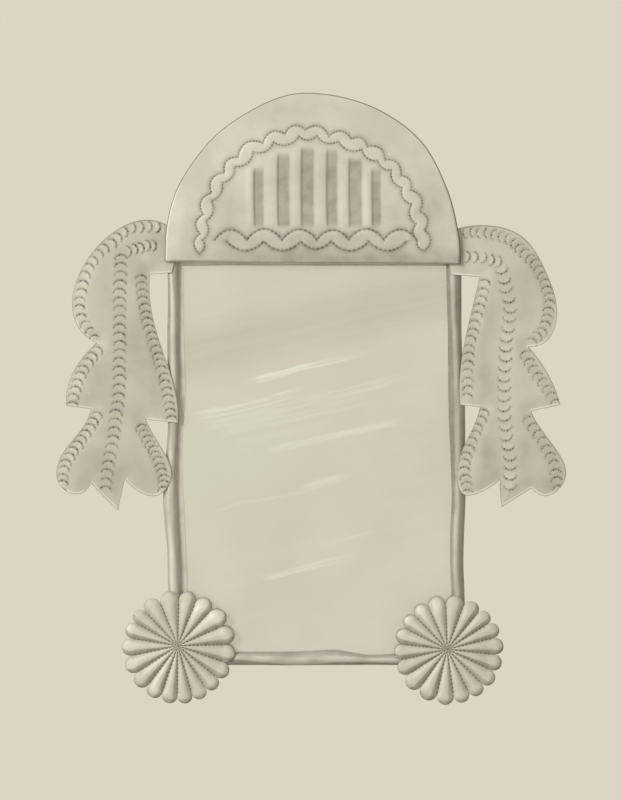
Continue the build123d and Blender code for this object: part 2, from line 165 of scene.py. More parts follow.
class Graph:
    """Node tree of one material or of the world."""

    def __init__(self, tree: bpy.types.NodeTree) -> None:
        """Empties a node tree to build in."""
        self.tree = tree
        tree.nodes.clear()

    def node(
        self,
        kind: str,
        settings: Mapping[str, object] | None = None,
        values: Mapping[str | int, object] | None = None,
    ) -> bpy.types.Node:
        """Adds a node, its settings first and then its sockets.

        Args:
            kind: Node type without its ShaderNode prefix.
            settings: Properties of the node.
            values: Numbers, colours or wires, by socket name or index.

        Returns:
            The node.
        """
        made = self.tree.nodes.new("ShaderNode" + kind)
        for name, value in (settings or {}).items():
            setattr(made, name, value)
        for key, value in (values or {}).items():
            if isinstance(value, Wire):
                self.tree.links.new(value.socket, made.inputs[key])
            else:
                made.inputs[key].default_value = value
        return made

    def out(
        self,
        kind: str,
        settings: Mapping[str, object] | None = None,
        values: Mapping[str | int, object] | None = None,
        output: str | int = 0,
    ) -> Wire:
        """Adds a node as node() does and gives the wire from one of its outputs."""
        return Wire(self, self.node(kind, settings, values).outputs[output])

    def maths(self, operation: str, first: Wire | float, second: Wire | float = 0.0) -> Wire:
        """Result of a Math node."""
        return self.out("Math", {"operation": operation}, {0: first, 1: second})

    def mix(self, factor: Wire | float, first: Wire | Colour, second: Wire | Colour) -> Wire:
        """Colour between two others: the first at factor 0, the second at 1."""
        settings = {"data_type": "RGBA", "clamp_factor": True}
        return self.out("Mix", settings, {0: factor, 6: first, 7: second}, 2)

    def place(self, turn: Sequence[float] = (0, 0, 0)) -> Wire:
        """Object coordinates, turned about each axis by radians."""
        spot = self.out("TexCoord", output="Object")
        return self.out("Mapping", None, {0: spot, 2: tuple(turn)})

    def noise(self, where: Wire, size: float, detail: float, roughness: float = 0.5) -> Wire:
        """Cloudy values round 0.5, in patches of the given size."""
        values = {"Vector": where, "Scale": 1 / size, "Detail": detail, "Roughness": roughness}
        return self.out("TexNoise", {"noise_dimensions": "3D"}, values)

    def span(self, value: Wire, low: float, high: float) -> Wire:
        """Share of the way from low to high, eased and kept within 0 and 1."""
        settings = {"interpolation_type": "SMOOTHSTEP"}
        return self.out("MapRange", settings, {0: value, 1: low, 2: high})

    def band(self, value: Wire, start: float, full: float, fading: float, end: float) -> Wire:
        """1 between full and fading and 0 before start and past end, all in millimetres."""
        return self.span(value, start * MM, full * MM) * (1 - self.span(value, fading * MM, end * MM))

    def attribute(self, name: str) -> Wire:
        """Number that the mesh keeps for each of its points."""
        return self.out("Attribute", {"attribute_name": name}, output="Fac")

    def bump(self, height: Wire, reach: float, strength: float) -> Wire:
        """Normal that a relief of 0 to 1 bends, as if it were reach high."""
        values = {"Strength": strength, "Distance": reach, "Height": height}
        return self.out("Bump", None, values)

    def surface(self, values: Mapping[str, object]) -> None:
        """Ends the tree in a Principled surface with these socket values or wires."""
        self.node("OutputMaterial", None, {"Surface": self.out("BsdfPrincipled", None, values)})


def new_graph(name: str) -> tuple[bpy.types.Material, Graph]:
    """New material and the graph to fill.

    Args:
        name: Name of the material.

    Returns:
        The material and its graph, which is empty.
    """
    material = bpy.data.materials.new(name)
    material.use_nodes = True
    return material, Graph(material.node_tree)


# --- Finishes -------------------------------------------------------------------------


class Mark(Enum):
    """Attributes that the modelled relief leaves for the finish: grime with painted shade, tarnish with
    painted shade, and painted highlights.
    """

    GRIME_AND_SHADE = "grime_and_shade"
    TARNISH_AND_SHADE = "tarnish_and_shade"
    PAINTED_HIGHLIGHT = "painted_highlight"


class Finish(Protocol):
    """Anything that can make a material."""

    def material(self) -> bpy.types.Material:
        """Builds the material."""


@dataclass(frozen=True)
class TinFinish:
    """Tinplate that has dulled to a warm grey, dirty and painted with shade in its punch marks, creases,
    edges and sides away from the light, and painted with highlights on its lit edges and swells.
    """

    name: str
    pale: Colour
    dusky: Colour
    patch: float
    seed: float
    # Dark of the grime and of the painted shade.
    dirt_and_shade: Colour = srgb(88, 82, 69)
    shade: Colour = srgb(143, 137, 121)
    # Colour of the painted highlights.
    highlight_tone: Colour = srgb(242, 239, 231)
    metallic: float = 0.38
    roughness: float = 0.6

    def material(self) -> bpy.types.Material:
        """Builds the material.

        Returns:
            The material.
        """
        material, graph = new_graph(self.name)
        spot = graph.out("TexCoord", output="Object")
        where = graph.out("Mapping", None, {0: spot, 1: (self.seed, self.seed * 0.7, -self.seed)})
        clouds = graph.span(graph.noise(where, self.patch, 3.0, 0.55), 0.32, 0.68)
        blooms = graph.span(graph.noise(where, self.patch / 5, 4.0, 0.6), 0.35, 0.75)
        grain = graph.noise(where, 0.9 * MM, 3.0, 0.6)
        specks = graph.span(graph.noise(where, 2.6 * MM, 2.0, 0.6), 0.66, 0.78)
        base = graph.mix(clouds * 0.75 + blooms * 0.25, self.pale, self.dusky)
        base = graph.mix(grain * 0.1, base, self.shade)
        base = graph.mix(specks * 0.08, base, self.shade)
        tarnish_and_shade = graph.attribute(Mark.TARNISH_AND_SHADE.value)
        # Painted shade: darkens recesses and sides that face away from the light.
        base = graph.mix(tarnish_and_shade * (0.8 + 0.35 * blooms), base, self.shade)
        painted_highlight = graph.attribute(Mark.PAINTED_HIGHLIGHT.value)
        # Painted highlight: lightens lit edges, swells and petal ends.
        base = graph.mix(painted_highlight * 0.8, base, self.highlight_tone)
        grime_and_shade = graph.attribute(Mark.GRIME_AND_SHADE.value)
        # Grime in punch marks and chased lines, with painted shade along edges and in creases.
        base = graph.mix(grime_and_shade, base, self.dirt_and_shade)
        rough = self.roughness + 0.12 * clouds + 0.06 * grain + 0.2 * grime_and_shade - 0.1 * painted_highlight
        normal = graph.bump(grain * 0.5 + blooms * 0.5, 0.05 * MM, 0.5)
        graph.surface({"Base Color": base, "Metallic": self.metallic, "Roughness": rough, "Normal": normal})
        return material


@dataclass(frozen=True)
class ReflectionStreak:
    """Pale streak of painted reflection on the glass, in the turned coordinates of the streaks, in
    millimetres.
    """

    height: float
    start: float
    end: float
    half: float
    strength: float


@dataclass(frozen=True)
class GlassFinish:
    """Old mirror glass: a dull silver back, a darker sweep over it and pale streaks of painted reflection
    that rise to the right.
    """

    name: str
    silver: Colour = srgb(246, 243, 236)
    haze: Colour = srgb(234, 230, 220)
    dusk: Colour = srgb(212, 206, 192)
    green: Colour = srgb(238, 242, 228)
    reflection_streak: Colour = srgb(252, 255, 246)
    rise: float = math.radians(13.2)
    reflection_streaks: tuple[ReflectionStreak, ...] = (
        ReflectionStreak(52.6, -28, 45, 2.2, 1.0),
        ReflectionStreak(39, -64, 2, 3.8, 0.75),
        ReflectionStreak(33, -60, 66, 3.4, 0.45),
        ReflectionStreak(27, -52, 40, 4.4, 0.4),
        ReflectionStreak(17, -46, 12, 4.0, 0.3),
        ReflectionStreak(10.2, -29, 53, 2.6, 0.75),
        ReflectionStreak(-15.6, -64, 17, 1.2, 0.4),
        ReflectionStreak(-13, -14, 20, 2.6, 0.75),
        ReflectionStreak(-48.8, -8, 24, 1.5, 0.75),
        ReflectionStreak(-59.6, -46, 11, 2.2, 0.7),
    )

    def add_reflection_streaks(self, graph: Graph, across: Wire, up: Wire, drawn: Wire) -> Wire:
        """Adds up the painted reflection streaks, ragged at their edges.

        Args:
            graph: Graph to build in.
            across: Coordinate along the streaks.
            up: Coordinate square to them.
            drawn: Coordinates drawn out along the wipes.

        Returns:
            Strength of the streaks, 0 to 1.
        """
        fray = graph.noise(drawn, 1.6 * MM, 2.0, 0.45)
        sway = (graph.noise(graph.place(), 30 * MM, 1.0) - 0.5) * (5 * MM)
        total: Wire | float = 0.0
        for reflection_streak in self.reflection_streaks:
            off = graph.maths("ABSOLUTE", up + sway - reflection_streak.height * MM)
            body = 1 - graph.span(off, reflection_streak.half * 0.6 * MM, reflection_streak.half * 1.1 * MM)
            body = body * graph.band(across, reflection_streak.start - 3, reflection_streak.start + 9, reflection_streak.end - 12, reflection_streak.end + 4)
            total = graph.maths("MAXIMUM", total, body * reflection_streak.strength)
        return total * (0.35 + 0.65 * graph.span(fray, 0.4, 0.56))

    def material(self) -> bpy.types.Material:
        """Builds the material.

        Returns:
            The material.
        """
        material, graph = new_graph(self.name)
        plain = graph.place()
        turned = graph.place((0, self.rise, 0))
        across, up = (graph.out("SeparateXYZ", None, {0: turned}, axis) for axis in ("X", "Z"))
        drawn = graph.out("Mapping", None, {0: turned, 3: (0.05, 1, 1)})
        clouds = graph.span(graph.noise(plain, 48 * MM, 2.0, 0.5), 0.3, 0.7)
        fine = graph.noise(drawn, 5 * MM, 3.0, 0.6)
        sweep = graph.band(up, 52, 70, 78, 100)
        tint = graph.band(up, -34, 8, 22, 52)
        tint = tint * (1 - graph.span(across, -34 * MM, 26 * MM))
        base = graph.mix(clouds * 0.6 + fine * 0.4, self.silver, self.haze)
        base = graph.mix(tint * (0.3 + 0.5 * fine), base, self.green)
        base = graph.mix(sweep * (0.2 + 0.34 * fine), base, self.dusk)
        reflection_streaks = self.add_reflection_streaks(graph, across, up, drawn)
        # Painted reflection: the pale streaks lighten the glass's colour.
        base = graph.mix(reflection_streaks * 0.42, base, self.reflection_streak)
        graph.surface(
            {
                "Base Color": base,
                "Metallic": 0.75,
                "Roughness": 0.18 + 0.06 * clouds + 0.2 * reflection_streaks,
                "Coat Weight": 0.6,
                "Coat Roughness": 0.06,
            }
        )
        return material


@dataclass(frozen=True)
class PlainFinish:
    """Mottled finish for the card, the solder and the wire."""

    name: str
    light: Colour
    dark: Colour
    metallic: float
    roughness: float
    patch: float
    relief: float = 0.05 * MM

    def material(self) -> bpy.types.Material:
        """Builds the material.

        Returns:
            The material.
        """
        material, graph = new_graph(self.name)
        where = graph.place()
        clouds = graph.span(graph.noise(where, self.patch, 4.0, 0.6), 0.3, 0.7)
        grain = graph.noise(where, self.patch / 9, 3.0, 0.65)
        base = graph.mix(clouds * 0.8 + 0.2 * grain, self.light, self.dark)
        rough = self.roughness + 0.12 * clouds + 0.08 * grain
        normal = graph.bump(grain, self.relief, 0.6)
        graph.surface({"Base Color": base, "Metallic": self.metallic, "Roughness": rough, "Normal": normal})
        return material


def tin(name: str, pale: Colour, dusky: Colour, patch: float, seed: float) -> TinFinish:
    """Tin of one piece, from its two tones, the size of their patches in millimetres and a seed."""
    return TinFinish(f"{name}_tin", pale, dusky, patch * MM, seed)


SHEET_TIN = tin("sheet", srgb(227, 221, 209), srgb(214, 208, 194), 34, 0.0)
LEFT_TIN = tin("left_pendant", srgb(209, 204, 190), srgb(196, 191, 176), 34, 0.31)
RIGHT_TIN = tin("right_pendant", srgb(219, 213, 200), srgb(206, 200, 185), 34, 0.57)
BEAD_TIN = tin("bead", srgb(210, 204, 193), srgb(193, 187, 174), 24, 0.83)
RIGHT_BEAD_TIN = tin("right_bead", srgb(192, 186, 174), srgb(176, 170, 157), 24, 0.97)
ROSETTE_TIN = tin("rosette", srgb(217, 212, 199), srgb(204, 199, 184), 18, 1.13)
CHANNEL_TIN = tin("channel", srgb(204, 198, 182), srgb(186, 180, 164), 20, 1.41)
# Paler copies of the channel tin, painted light: the top lip lies in the lunette's shadow and the left lip in
# the left bead's shadow.
TOP_LIP_LIGHTENED_TIN = tin("top_channel", srgb(236, 231, 218), srgb(226, 220, 206), 20, 1.59)
LEFT_LIP_LIGHTENED_TIN = tin("left_channel", srgb(230, 224, 209), srgb(218, 212, 197), 20, 1.66)
BACK_TIN = tin("back", srgb(196, 191, 178), srgb(166, 160, 146), 22, 1.77)
OLD_GLASS = GlassFinish("old_mirror_glass")
CARD = PlainFinish("packing_card_board", srgb(168, 146, 112), srgb(138, 116, 86), 0.0, 0.85, 12 * MM)
SOLDER = PlainFinish("soft_solder", srgb(196, 196, 194), srgb(134, 132, 128), 0.85, 0.38, 3 * MM)
WIRE = PlainFinish("iron_wire", srgb(150, 144, 134), srgb(104, 92, 78), 0.8, 0.4, 4 * MM)


# --- Modelling helpers ----------------------------------------------------------------


def only(piece: Piece) -> None:
    """Selects one object and makes it the active one.

    Args:
        piece: The object.
    """
    bpy.ops.object.select_all(action="DESELECT")
    piece.select_set(True)
    bpy.context.view_layer.objects.active = piece


def link(name: str, data: bpy.types.ID) -> Piece:
    """New object of the scene that shows a mesh or a curve.

    Args:
        name: Name of the object.
        data: Mesh or curve.

    Returns:
        The object.
    """
    piece = bpy.data.objects.new(name, data)
    bpy.context.scene.collection.objects.link(piece)
    return piece


def node_copy(node: str) -> Piece:
    """Copy of a CAD node's mesh, its loose triangles merged.

    Args:
        node: Name of the node.

    Returns:
        The copy, as the active object.
    """
    piece = link(f"{node}_copy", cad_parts[node].data.copy())
    merge(piece, 0.001 * MM)
    return piece


@contextmanager
def editing(piece: Piece, action: str = "SELECT") -> Iterator[None]:
    """Edit mode on one object.

    Args:
        piece: The object.
        action: SELECT for all of its mesh, or DESELECT for nothing.

    Returns:
        A context that goes back to object mode.
    """
    only(piece)
    bpy.ops.object.mode_set(mode="EDIT")
    bpy.ops.mesh.select_all(action=action)
    yield
    bpy.ops.object.mode_set(mode="OBJECT")


def points_of(piece: Piece) -> Values:
    """Vertices of a mesh.

    Args:
        piece: The object.

    Returns:
        One (x, y, z) row for each vertex.
    """
    flat = np.zeros(len(piece.data.vertices) * 3)
    piece.data.vertices.foreach_get("co", flat)
    return flat.reshape(-1, 3)


def set_points(piece: Piece, points: Values) -> None:
    """Moves a mesh's vertices to the given (x, y, z) rows."""
    piece.data.vertices.foreach_set("co", points.ravel())
    piece.data.update()


def keep_marks(piece: Piece, marks: Mapping[str, Values]) -> None:
    """Keeps the marks on the mesh, for the finish to read.

    Args:
        piece: The object.
        marks: Values of each mark, one for each vertex.
    """
    for mark in Mark:
        attribute = piece.data.attributes.new(mark.value, "FLOAT", "POINT")
        attribute.data.foreach_set("value", np.clip(marks[mark.value], 0, 1).astype(np.float32))


def run_modifier(piece: Piece, kind: str, settings: Mapping[str, object]) -> None:
    """Adds a modifier, sets it and applies it.

    Args:
        piece: The object.
        kind: Blender's name for the kind of modifier.
        settings: Properties of the modifier.
    """
    only(piece)
    modifier = piece.modifiers.new(kind.lower(), kind)
    for name, value in settings.items():
        setattr(modifier, name, value)
    bpy.ops.object.modifier_apply(modifier=modifier.name)


def thicken(piece: Piece, offset: float = -1.0, even: bool = False) -> None:
    """Gives a surface the sheet's thickness, behind it or, with offset 1, in front of it."""
    run_modifier(piece, "SOLIDIFY", {"thickness": SHEET, "offset": offset, "use_even_offset": even})


def mapped_grid(
    name: str,
    across: int,
    along: int,
    shape: Callable[[Values, Values], Values],
) -> Piece:
    """Grid whose points a function puts in place.

    Args:
        name: Name of the new object.
        across: Cells along the first parameter.
        along: Cells along the second parameter.
        shape: Takes both parameters, 0 to 1, and returns (x, y, z) rows.

    Returns:
        The new object; its normals are the first parameter's way crossed with the second's.
    """
    bpy.ops.object.select_all(action="DESELECT")
    bpy.ops.mesh.primitive_grid_add(x_subdivisions=across, y_subdivisions=along, size=1)
    piece = bpy.context.active_object
    piece.name = name
    start = points_of(piece)
    set_points(piece, shape(start[:, 0] + 0.5, start[:, 1] + 0.5))
    return piece


def smooth(piece: Piece, angle: float) -> None:
    """Shades smooth, but for edges sharper than the angle in degrees."""
    only(piece)
    bpy.ops.object.shade_smooth_by_angle(angle=math.radians(angle))


def merge(piece: Piece, distance: float) -> None:
    """Merges vertices that lie closer than the distance."""
    with editing(piece):
        bpy.ops.mesh.remove_doubles(threshold=distance)


def dress(piece: Piece, finish: Finish, nodes: Sequence[str], body: str = "frame") -> None:
    """Gives a finished piece its material, body, slot and the nodes that it stands for.

    Args:
        piece: The piece.
        finish: Its finish.
        nodes: CAD nodes that it replaces.
        body: CAD body that it rides on.
    """
    piece.data.materials.clear()
    piece.data.materials.append(finish.material())
    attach(piece, body)
    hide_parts(*nodes)
    log.info("%s: %d vertices", piece.name, len(piece.data.vertices))


def paint_nodes(finish: Finish, *names: str) -> None:
    """Gives CAD nodes that stay in view their finish.

    Args:
        finish: The finish.
        names: Names of the nodes.
    """
    material = finish.material()
    for name in names:
        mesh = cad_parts[name].data
        mesh.materials.clear()
        mesh.materials.append(material)


class Path:
    """Line through (x, z) points, kept as short straight steps, with distances along it."""

    def __init__(self, steps: Sequence[Point] | Values) -> None:
        """Keeps the line and measures its steps.

        Args:
            steps: Points, close enough together for straight steps between them.
        """
        self.points = np.array(steps, float)
        self.runs = np.diff(self.points, axis=0)
        self.lengths = np.hypot(self.runs[:, 0], self.runs[:, 1])
        self.starts = np.concatenate(([0], np.cumsum(self.lengths)[:-1]))
        self.length = float(self.lengths.sum())

    @classmethod
    def curved(cls, corners: Sequence[Point], pieces: int = 12) -> "Path":
        """Smooth line through given points.

        Args:
            corners: Points that it passes through.
            pieces: Steps between each two points.

        Returns:
            The line.
        """
        given = np.array(corners, float)
        ends = [2 * given[0] - given[1], *given, 2 * given[-1] - given[-2]]
        steps = [given[0]]
        for before, start, end, after in zip(ends, ends[1:], ends[2:], ends[3:]):
            for index in range(1, pieces + 1):
                t = index / pieces
                bend = 2 * start + (end - before) * t
                bend = bend + (2 * before - 5 * start + 4 * end - after) * t**2
                steps.append((bend + (3 * start - before - 3 * end + after) * t**3) / 2)
        return cls(np.array(steps))

    @classmethod
    def scalloped(cls, cusps: Sequence[Point], bulge: float, pieces: int = 10) -> "Path":
        """Chain of arcs from cusp to cusp.

        Args:
            cusps: Points where two arcs meet.
            bulge: Height of each arc, to the left of the way that it runs, as a share of its chord.
            pieces: Steps in each arc.

        Returns:
            The line.
        """
        steps = [np.array(cusps[0], float)]
        for start, end in zip(cusps, cusps[1:]):
            start, end = np.array(start, float), np.array(end, float)
            left = np.array([start[1] - end[1], end[0] - start[0]])
            for index in range(1, pieces + 1):
                t = index / pieces
                steps.append(start + (end - start) * t + left * bulge * math.sin(math.pi * t) ** 0.8)
        return cls(np.array(steps))

    def at(self, distance: float) -> tuple[Values, Values]:
        """Point and direction at a distance from the start.

        Args:
            distance: Distance along the line.

        Returns:
            The point and the unit direction there.
        """
        index = int(np.clip(np.searchsorted(self.starts, distance) - 1, 0, len(self.runs) - 1))
        direction = self.runs[index] / self.lengths[index]
        return self.points[index] + direction * (distance - self.starts[index]), direction

    def headings(self, places: Values) -> Values:
        """Unit directions at many places along the line."""
        index = np.clip(np.searchsorted(self.starts, places, side="right") - 1, 0, len(self.runs) - 1)
        return self.runs[index] / np.maximum(self.lengths[index, None], 1e-9)

    def within(self, spots: Values) -> Values:
        """Says which spots lie inside the line when its ends are joined.

        Args:
            spots: (x, z) rows.

        Returns:
            True for each spot that lies inside.
        """
        x, z = spots[:, 0], spots[:, 1]
        inside = np.zeros(len(spots), bool)
        for (ax, az), (bx, bz) in zip(self.points, np.roll(self.points, -1, axis=0)):
            if az != bz:
                inside ^= ((az > z) != (bz > z)) & (x < ax + (z - az) * (bx - ax) / (bz - az))
        return inside

    def measure(self, spots: Values, reach: float) -> Measured:
        """Nearness of many points to the line.

        Args:
            spots: (x, z) rows.
            reach: Distance past which points aren't measured.

        Returns:
            For each spot its distance, which is at most the reach, its side, 1 to the left and -1 to the
            right of the line's way, and the place on the line that is nearest.
        """
        distance = np.full(len(spots), reach)
        side = np.ones(len(spots))
        place = np.zeros(len(spots))
        low = self.points.min(0) - reach
        high = self.points.max(0) + reach
        near = np.flatnonzero(((spots > low) & (spots < high)).all(axis=1))
        for chunk in np.array_split(near, max(1, len(near) // MEASURED_AT_ONCE)):
            away = spots[chunk, None, :] - self.points[None, :-1, :]
            share = (away * self.runs).sum(2) / np.maximum(self.lengths**2, 1e-18)
            share = np.clip(share, 0, 1)
            gap = away - share[:, :, None] * self.runs
            far = np.hypot(gap[:, :, 0], gap[:, :, 1])
            best = far.argmin(1)
            rows = np.arange(len(chunk))
            closest = far[rows, best]
            run, off = self.runs[best], away[rows, best]
            turn = run[:, 0] * off[:, 1] - run[:, 1] * off[:, 0]
            kept = closest < reach
            distance[chunk[kept]] = closest[kept]
            side[chunk[kept]] = np.where(turn[kept] >= 0, 1, -1)
            place[chunk[kept]] = (self.starts[best] + share[rows, best] * self.lengths[best])[kept]
        return distance, side, place


@dataclass(frozen=True)
class Undulation:
    """Gentle unevenness of hand-dressed sheet, as a few crossing waves."""

    height: float
    wavelength: float
    seed: int
    count: int = 7

    def at(self, x: Values, z: Values) -> Values:
        """Height of the unevenness.

        Args:
            x: Places across.
            z: Places up.

        Returns:
            Heights about 0.
        """
        draw = random.Random(self.seed)
        total = np.zeros(len(x))
        for _ in range(self.count):
            heading = draw.uniform(0, math.pi)
            number = 2 * math.pi / (self.wavelength * draw.uniform(0.7, 1.9))
            phase = draw.uniform(0, 2 * math.pi)
            total += np.sin(number * (x * math.cos(heading) + z * math.sin(heading)) + phase)
        return self.height * total / 3


# --- Relief: what the punches and the forming tools leave in a sheet, with its painted shade and highlights ---


# Soft dark patch of a sheet: its middle and half sizes in millimetres, and its strength.
Wash = tuple[Point, Point, float]


@dataclass
class Relief:
    """Heights and finish marks that build up over a sheet's points."""

    x: Values
    z: Values
    height: Values = field(init=False)
    grime_and_shade: Values = field(init=False)
    tarnish_and_shade: Values = field(init=False)
    painted_highlight: Values = field(init=False)

    def __post_init__(self) -> None:
        """Starts flat and clean."""
        self.height, self.grime_and_shade, self.tarnish_and_shade, self.painted_highlight = np.zeros((4, len(self.x)))

    @property
    def spots(self) -> Values:
        """The points as (x, z) rows."""
        return np.stack((self.x, self.z), axis=1)

    def darken(self, grime_and_shade: Values) -> None:
        """Adds grime and painted shade where they are thicker than what is there."""
        self.grime_and_shade = np.maximum(self.grime_and_shade, grime_and_shade)

    def wash(self, patches: Sequence[Wash]) -> None:
        """Adds soft dark patches to the tarnish and painted shade.

        Args:
            patches: The patches.
        """
        for (x, z), (across, up), strength in patches:
            off = ((self.x - x * MM) / (across * MM)) ** 2 + ((self.z - z * MM) / (up * MM)) ** 2
            self.tarnish_and_shade += strength * np.exp(-off)


@dataclass(frozen=True)
class Blow:
    """One strike of a punch: its crown, the way that it points, its force, its lean and the punch's size."""

    spot: Values
    facing: Values
    force: float
    lean: float
    size: float


@dataclass(frozen=True)
class CrescentPunch:
    """Curved punch with an edge of round teeth.

    Each tooth leaves a pit, dark with grime and painted shade, and a groove links them. The sheet swells
    inside the crescent, lightened by a painted highlight, and sinks outside, darkened by painted shade.
    """

    half_width: float = 3.0 * MM
    sag: float = 1.85 * MM
    teeth: int = 6
    tooth: float = 0.5 * MM
    stretch: float = 1.45
    depth: float = 0.26 * MM
    swell: float = 0.16 * MM
    swell_in: float = 0.9 * MM
    swell_width: float = 0.95 * MM
    sink: float = 0.08 * MM
    sink_out: float = 0.5 * MM
    sink_width: float = 0.9 * MM
    link: float = 0.2

    def strike(self, relief: Relief, blow: Blow) -> None:
        """Marks one crescent.

        Args:
            relief: Sheet to mark.
            blow: Place and force of the strike.
        """
        reach = self.half_width + 3 * MM
        off_x, off_z = relief.x - blow.spot[0], relief.z - blow.spot[1]
        near = np.flatnonzero((abs(off_x) < reach) & (abs(off_z) < reach))
        off_x, off_z = off_x[near], off_z[near]
        wide, sag = self.half_width * blow.size, self.sag * blow.size
        radius = (wide**2 + sag**2) / (2 * sag)
        half = math.asin(min(1.0, wide / radius))
        along = off_x * blow.facing[0] + off_z * blow.facing[1] + radius
        across = off_x * blow.facing[1] - off_z * blow.facing[0]
        angle = np.arctan2(across, along)
        gap = np.hypot(across, along) - radius
        phase = (angle + half) / (2 * half) * (self.teeth - 1)
        nearest = np.clip(np.round(phase), 0, self.teeth - 1)
        spacing = 2 * half * radius / (self.teeth - 1)
        run = (phase - nearest) * spacing / self.stretch
        pit = bell(np.hypot(gap, run), self.tooth)
        pit *= 0.8 + 0.3 * np.sin(2.4 * nearest + 25 * blow.lean)
        pit *= 1.15 - 0.5 * (2 * nearest / (self.teeth - 1) - 1) ** 2
        groove = bell(gap, self.tooth) * (1 - ease(half * 0.9, half * 1.1, abs(angle)))
        inside = 1 - ease(half * 0.65, half * 1.15, abs(angle))
        cushion = bell(np.minimum(gap, 0) + self.swell_in, self.swell_width) * (gap < 0) * inside
        sunk = bell(gap - self.sink_out, self.sink_width) * (gap > 0) * inside
        force = blow.force * np.clip(1 + blow.lean * angle / half, 0.35, 1.35)
        dent = self.depth * np.maximum(pit, 0.4 * groove)
        relief.height[near] += force * (self.swell * cushion - self.sink * sunk - dent)
        # Grime and painted shade in the pits and groove, painted shade on the sunk outside, a painted
        # highlight on the swell.
        grime_and_shade = force * np.maximum(0.95 * pit, self.link * groove)
        relief.grime_and_shade[near] = np.maximum(relief.grime_and_shade[near], grime_and_shade)
        relief.tarnish_and_shade[near] += 0.24 * force * sunk
        relief.painted_highlight[near] += 0.05 * force * cushion


@dataclass(frozen=True)
class StampRow:
    """Row of crescents along a line; crowns point along the row, or against it if backwards.

    The line's points and the most that a blow slips along it are in millimetres.
    """

    line: Sequence[Point]
    pitch: float
    backwards: bool = False
    size: float = 1.0
    slip: float = 0.3
    twist: float = 0.12

    def blows(self, seed: int) -> list[Blow]:
        """Works out where each blow falls.

        Args:
            seed: Seed of the row's unevenness.

        Returns:
            The blows, in order.
        """
        draw = random.Random(seed)
        path = Path.curved(metres(self.line))
        count = max(2, round(path.length / self.pitch) + 1)
        found = []
        for index in range(count):
            distance = path.length * index / (count - 1) + draw.uniform(-self.slip, self.slip) * MM
            spot, way = path.at(min(max(distance, 0.0), path.length * 0.9999))
            turn = draw.uniform(-self.twist, self.twist)
            if self.backwards:
                way = -way
            cosine, sine = math.cos(turn), math.sin(turn)
            facing = np.array([way[0] * cosine - way[1] * sine, way[0] * sine + way[1] * cosine])
            found.append(Blow(spot, facing, draw.uniform(0.75, 1.2), draw.uniform(-0.28, 0.28), self.size))
        return found


@dataclass(frozen=True)
class ChasedLine:
    """Line of short dashes struck with a blunt chisel, with shade painted on one side of it."""

    pitch: float = 1.9 * MM
    dash: float = 0.68
    depth: float = 0.12 * MM
    line: float = 0.46 * MM
    shade: float = 0.42
    shade_width: float = 1.8 * MM

    def strike(self, relief: Relief, measured: Measured, shaded_side: int) -> None:
        """Marks the line.

        Args:
            relief: Sheet to mark.
            measured: Distances, sides and places of the relief's spots against the line.
            shaded_side: Side on which shade is painted: 1 for the line's left, -1 for its right.
        """
        distance, side, place = measured
        drift = 0.22 * MM * np.sin(place / (2.9 * MM))
        wave = np.cos(2 * math.pi * (place + drift) / self.pitch) - math.cos(math.pi * self.dash)
        pulse = ease(-0.3, 0.3, wave)
        groove = bell(distance, self.line)
        firm = 0.84 + 0.26 * np.sin(place / (5.3 * MM)) * np.sin(place / (2.1 * MM))
        relief.height -= self.depth * groove * (0.4 + 0.6 * pulse)
        relief.darken(firm * groove * (0.24 + 0.58 * pulse))
        # Painted shade: a soft dark band beside the line on its shaded side.
        relief.tarnish_and_shade += self.shade * bell(distance, self.shade_width) * (side == shaded_side)


# --- Sheets cut to an outline and embossed --------------------------------------------


@dataclass
class EmbossedSheet:
    """Sheet of tin that is cut from a plate, refined where it is marked, and then embossed."""

    name: str
    depth: float
    cell: float

    def plate(self, low: Point, high: Point) -> Piece:
        """Flat grid that stands in the wall's plane and faces the viewer.

        Args:
            low: Lowest corner, as (x, z).
            high: Highest corner.

        Returns:
            The new object.
        """
        size = (high[0] - low[0], high[1] - low[1])
        counts = [math.ceil(length / self.cell) for length in size]

        def shape(s: Values, t: Values) -> Values:
            """Spreads the grid over the plate.

            Args:
                s: Shares of the way across the plate.
                t: Shares of the way up it.

            Returns:
                (x, y, z) rows.
            """
            depth = np.full(len(s), -self.depth)
            return np.stack((low[0] + s * size[0], depth, low[1] + t * size[1]), axis=1)

        return mapped_grid(self.name, counts[0], counts[1], shape)

    def refine(self, piece: Piece, chosen: Callable[[Values], Values]) -> None:
        """Halves the cells where the marks need it.

        Args:
            piece: Plate.
            chosen: Takes the (x, z) middles of the cells and says which are halved.
        """
        middles = np.zeros(len(piece.data.polygons) * 3)
        piece.data.polygons.foreach_get("center", middles)
        picked = chosen(middles.reshape(-1, 3)[:, (0, 2)])
        with editing(piece, "DESELECT"):
            bpy.ops.mesh.select_mode(type="FACE")
        piece.data.polygons.foreach_set("select", picked)
        bpy.ops.object.mode_set(mode="EDIT")
        bpy.ops.mesh.subdivide(number_cuts=1)
        bpy.ops.object.mode_set(mode="OBJECT")

    def cut(self, piece: Piece, cutter: Piece) -> Relief:
        """Gives the plate its thickness and cuts it to the cutter's outline.

        Args:
            piece: Plate.
            cutter: Closed prism, which is used up.

        Returns:
            A flat relief over the cut sheet's vertices.
        """
        thicken(piece)
        settings = {"operation": "INTERSECT", "solver": "MANIFOLD", "object": cutter}
        run_modifier(piece, "BOOLEAN", settings)
        bpy.data.objects.remove(cutter)
        points = points_of(piece)
        return Relief(points[:, 0], points[:, 2])

    def emboss(self, piece: Piece, relief: Relief) -> None:
        """Moves both faces of the cut sheet by the relief and keeps its marks.

        Args:
            piece: Cut sheet.
            relief: Heights and marks over its vertices.
        """
        points = points_of(piece)
        points[:, 1] -= relief.height
        set_points(piece, points)
        keep_marks(piece, {"grime_and_shade": relief.grime_and_shade, "tarnish_and_shade": relief.tarnish_and_shade, "painted_highlight": relief.painted_highlight})
        run_modifier(piece, "TRIANGULATE", {})
        smooth(piece, 60)


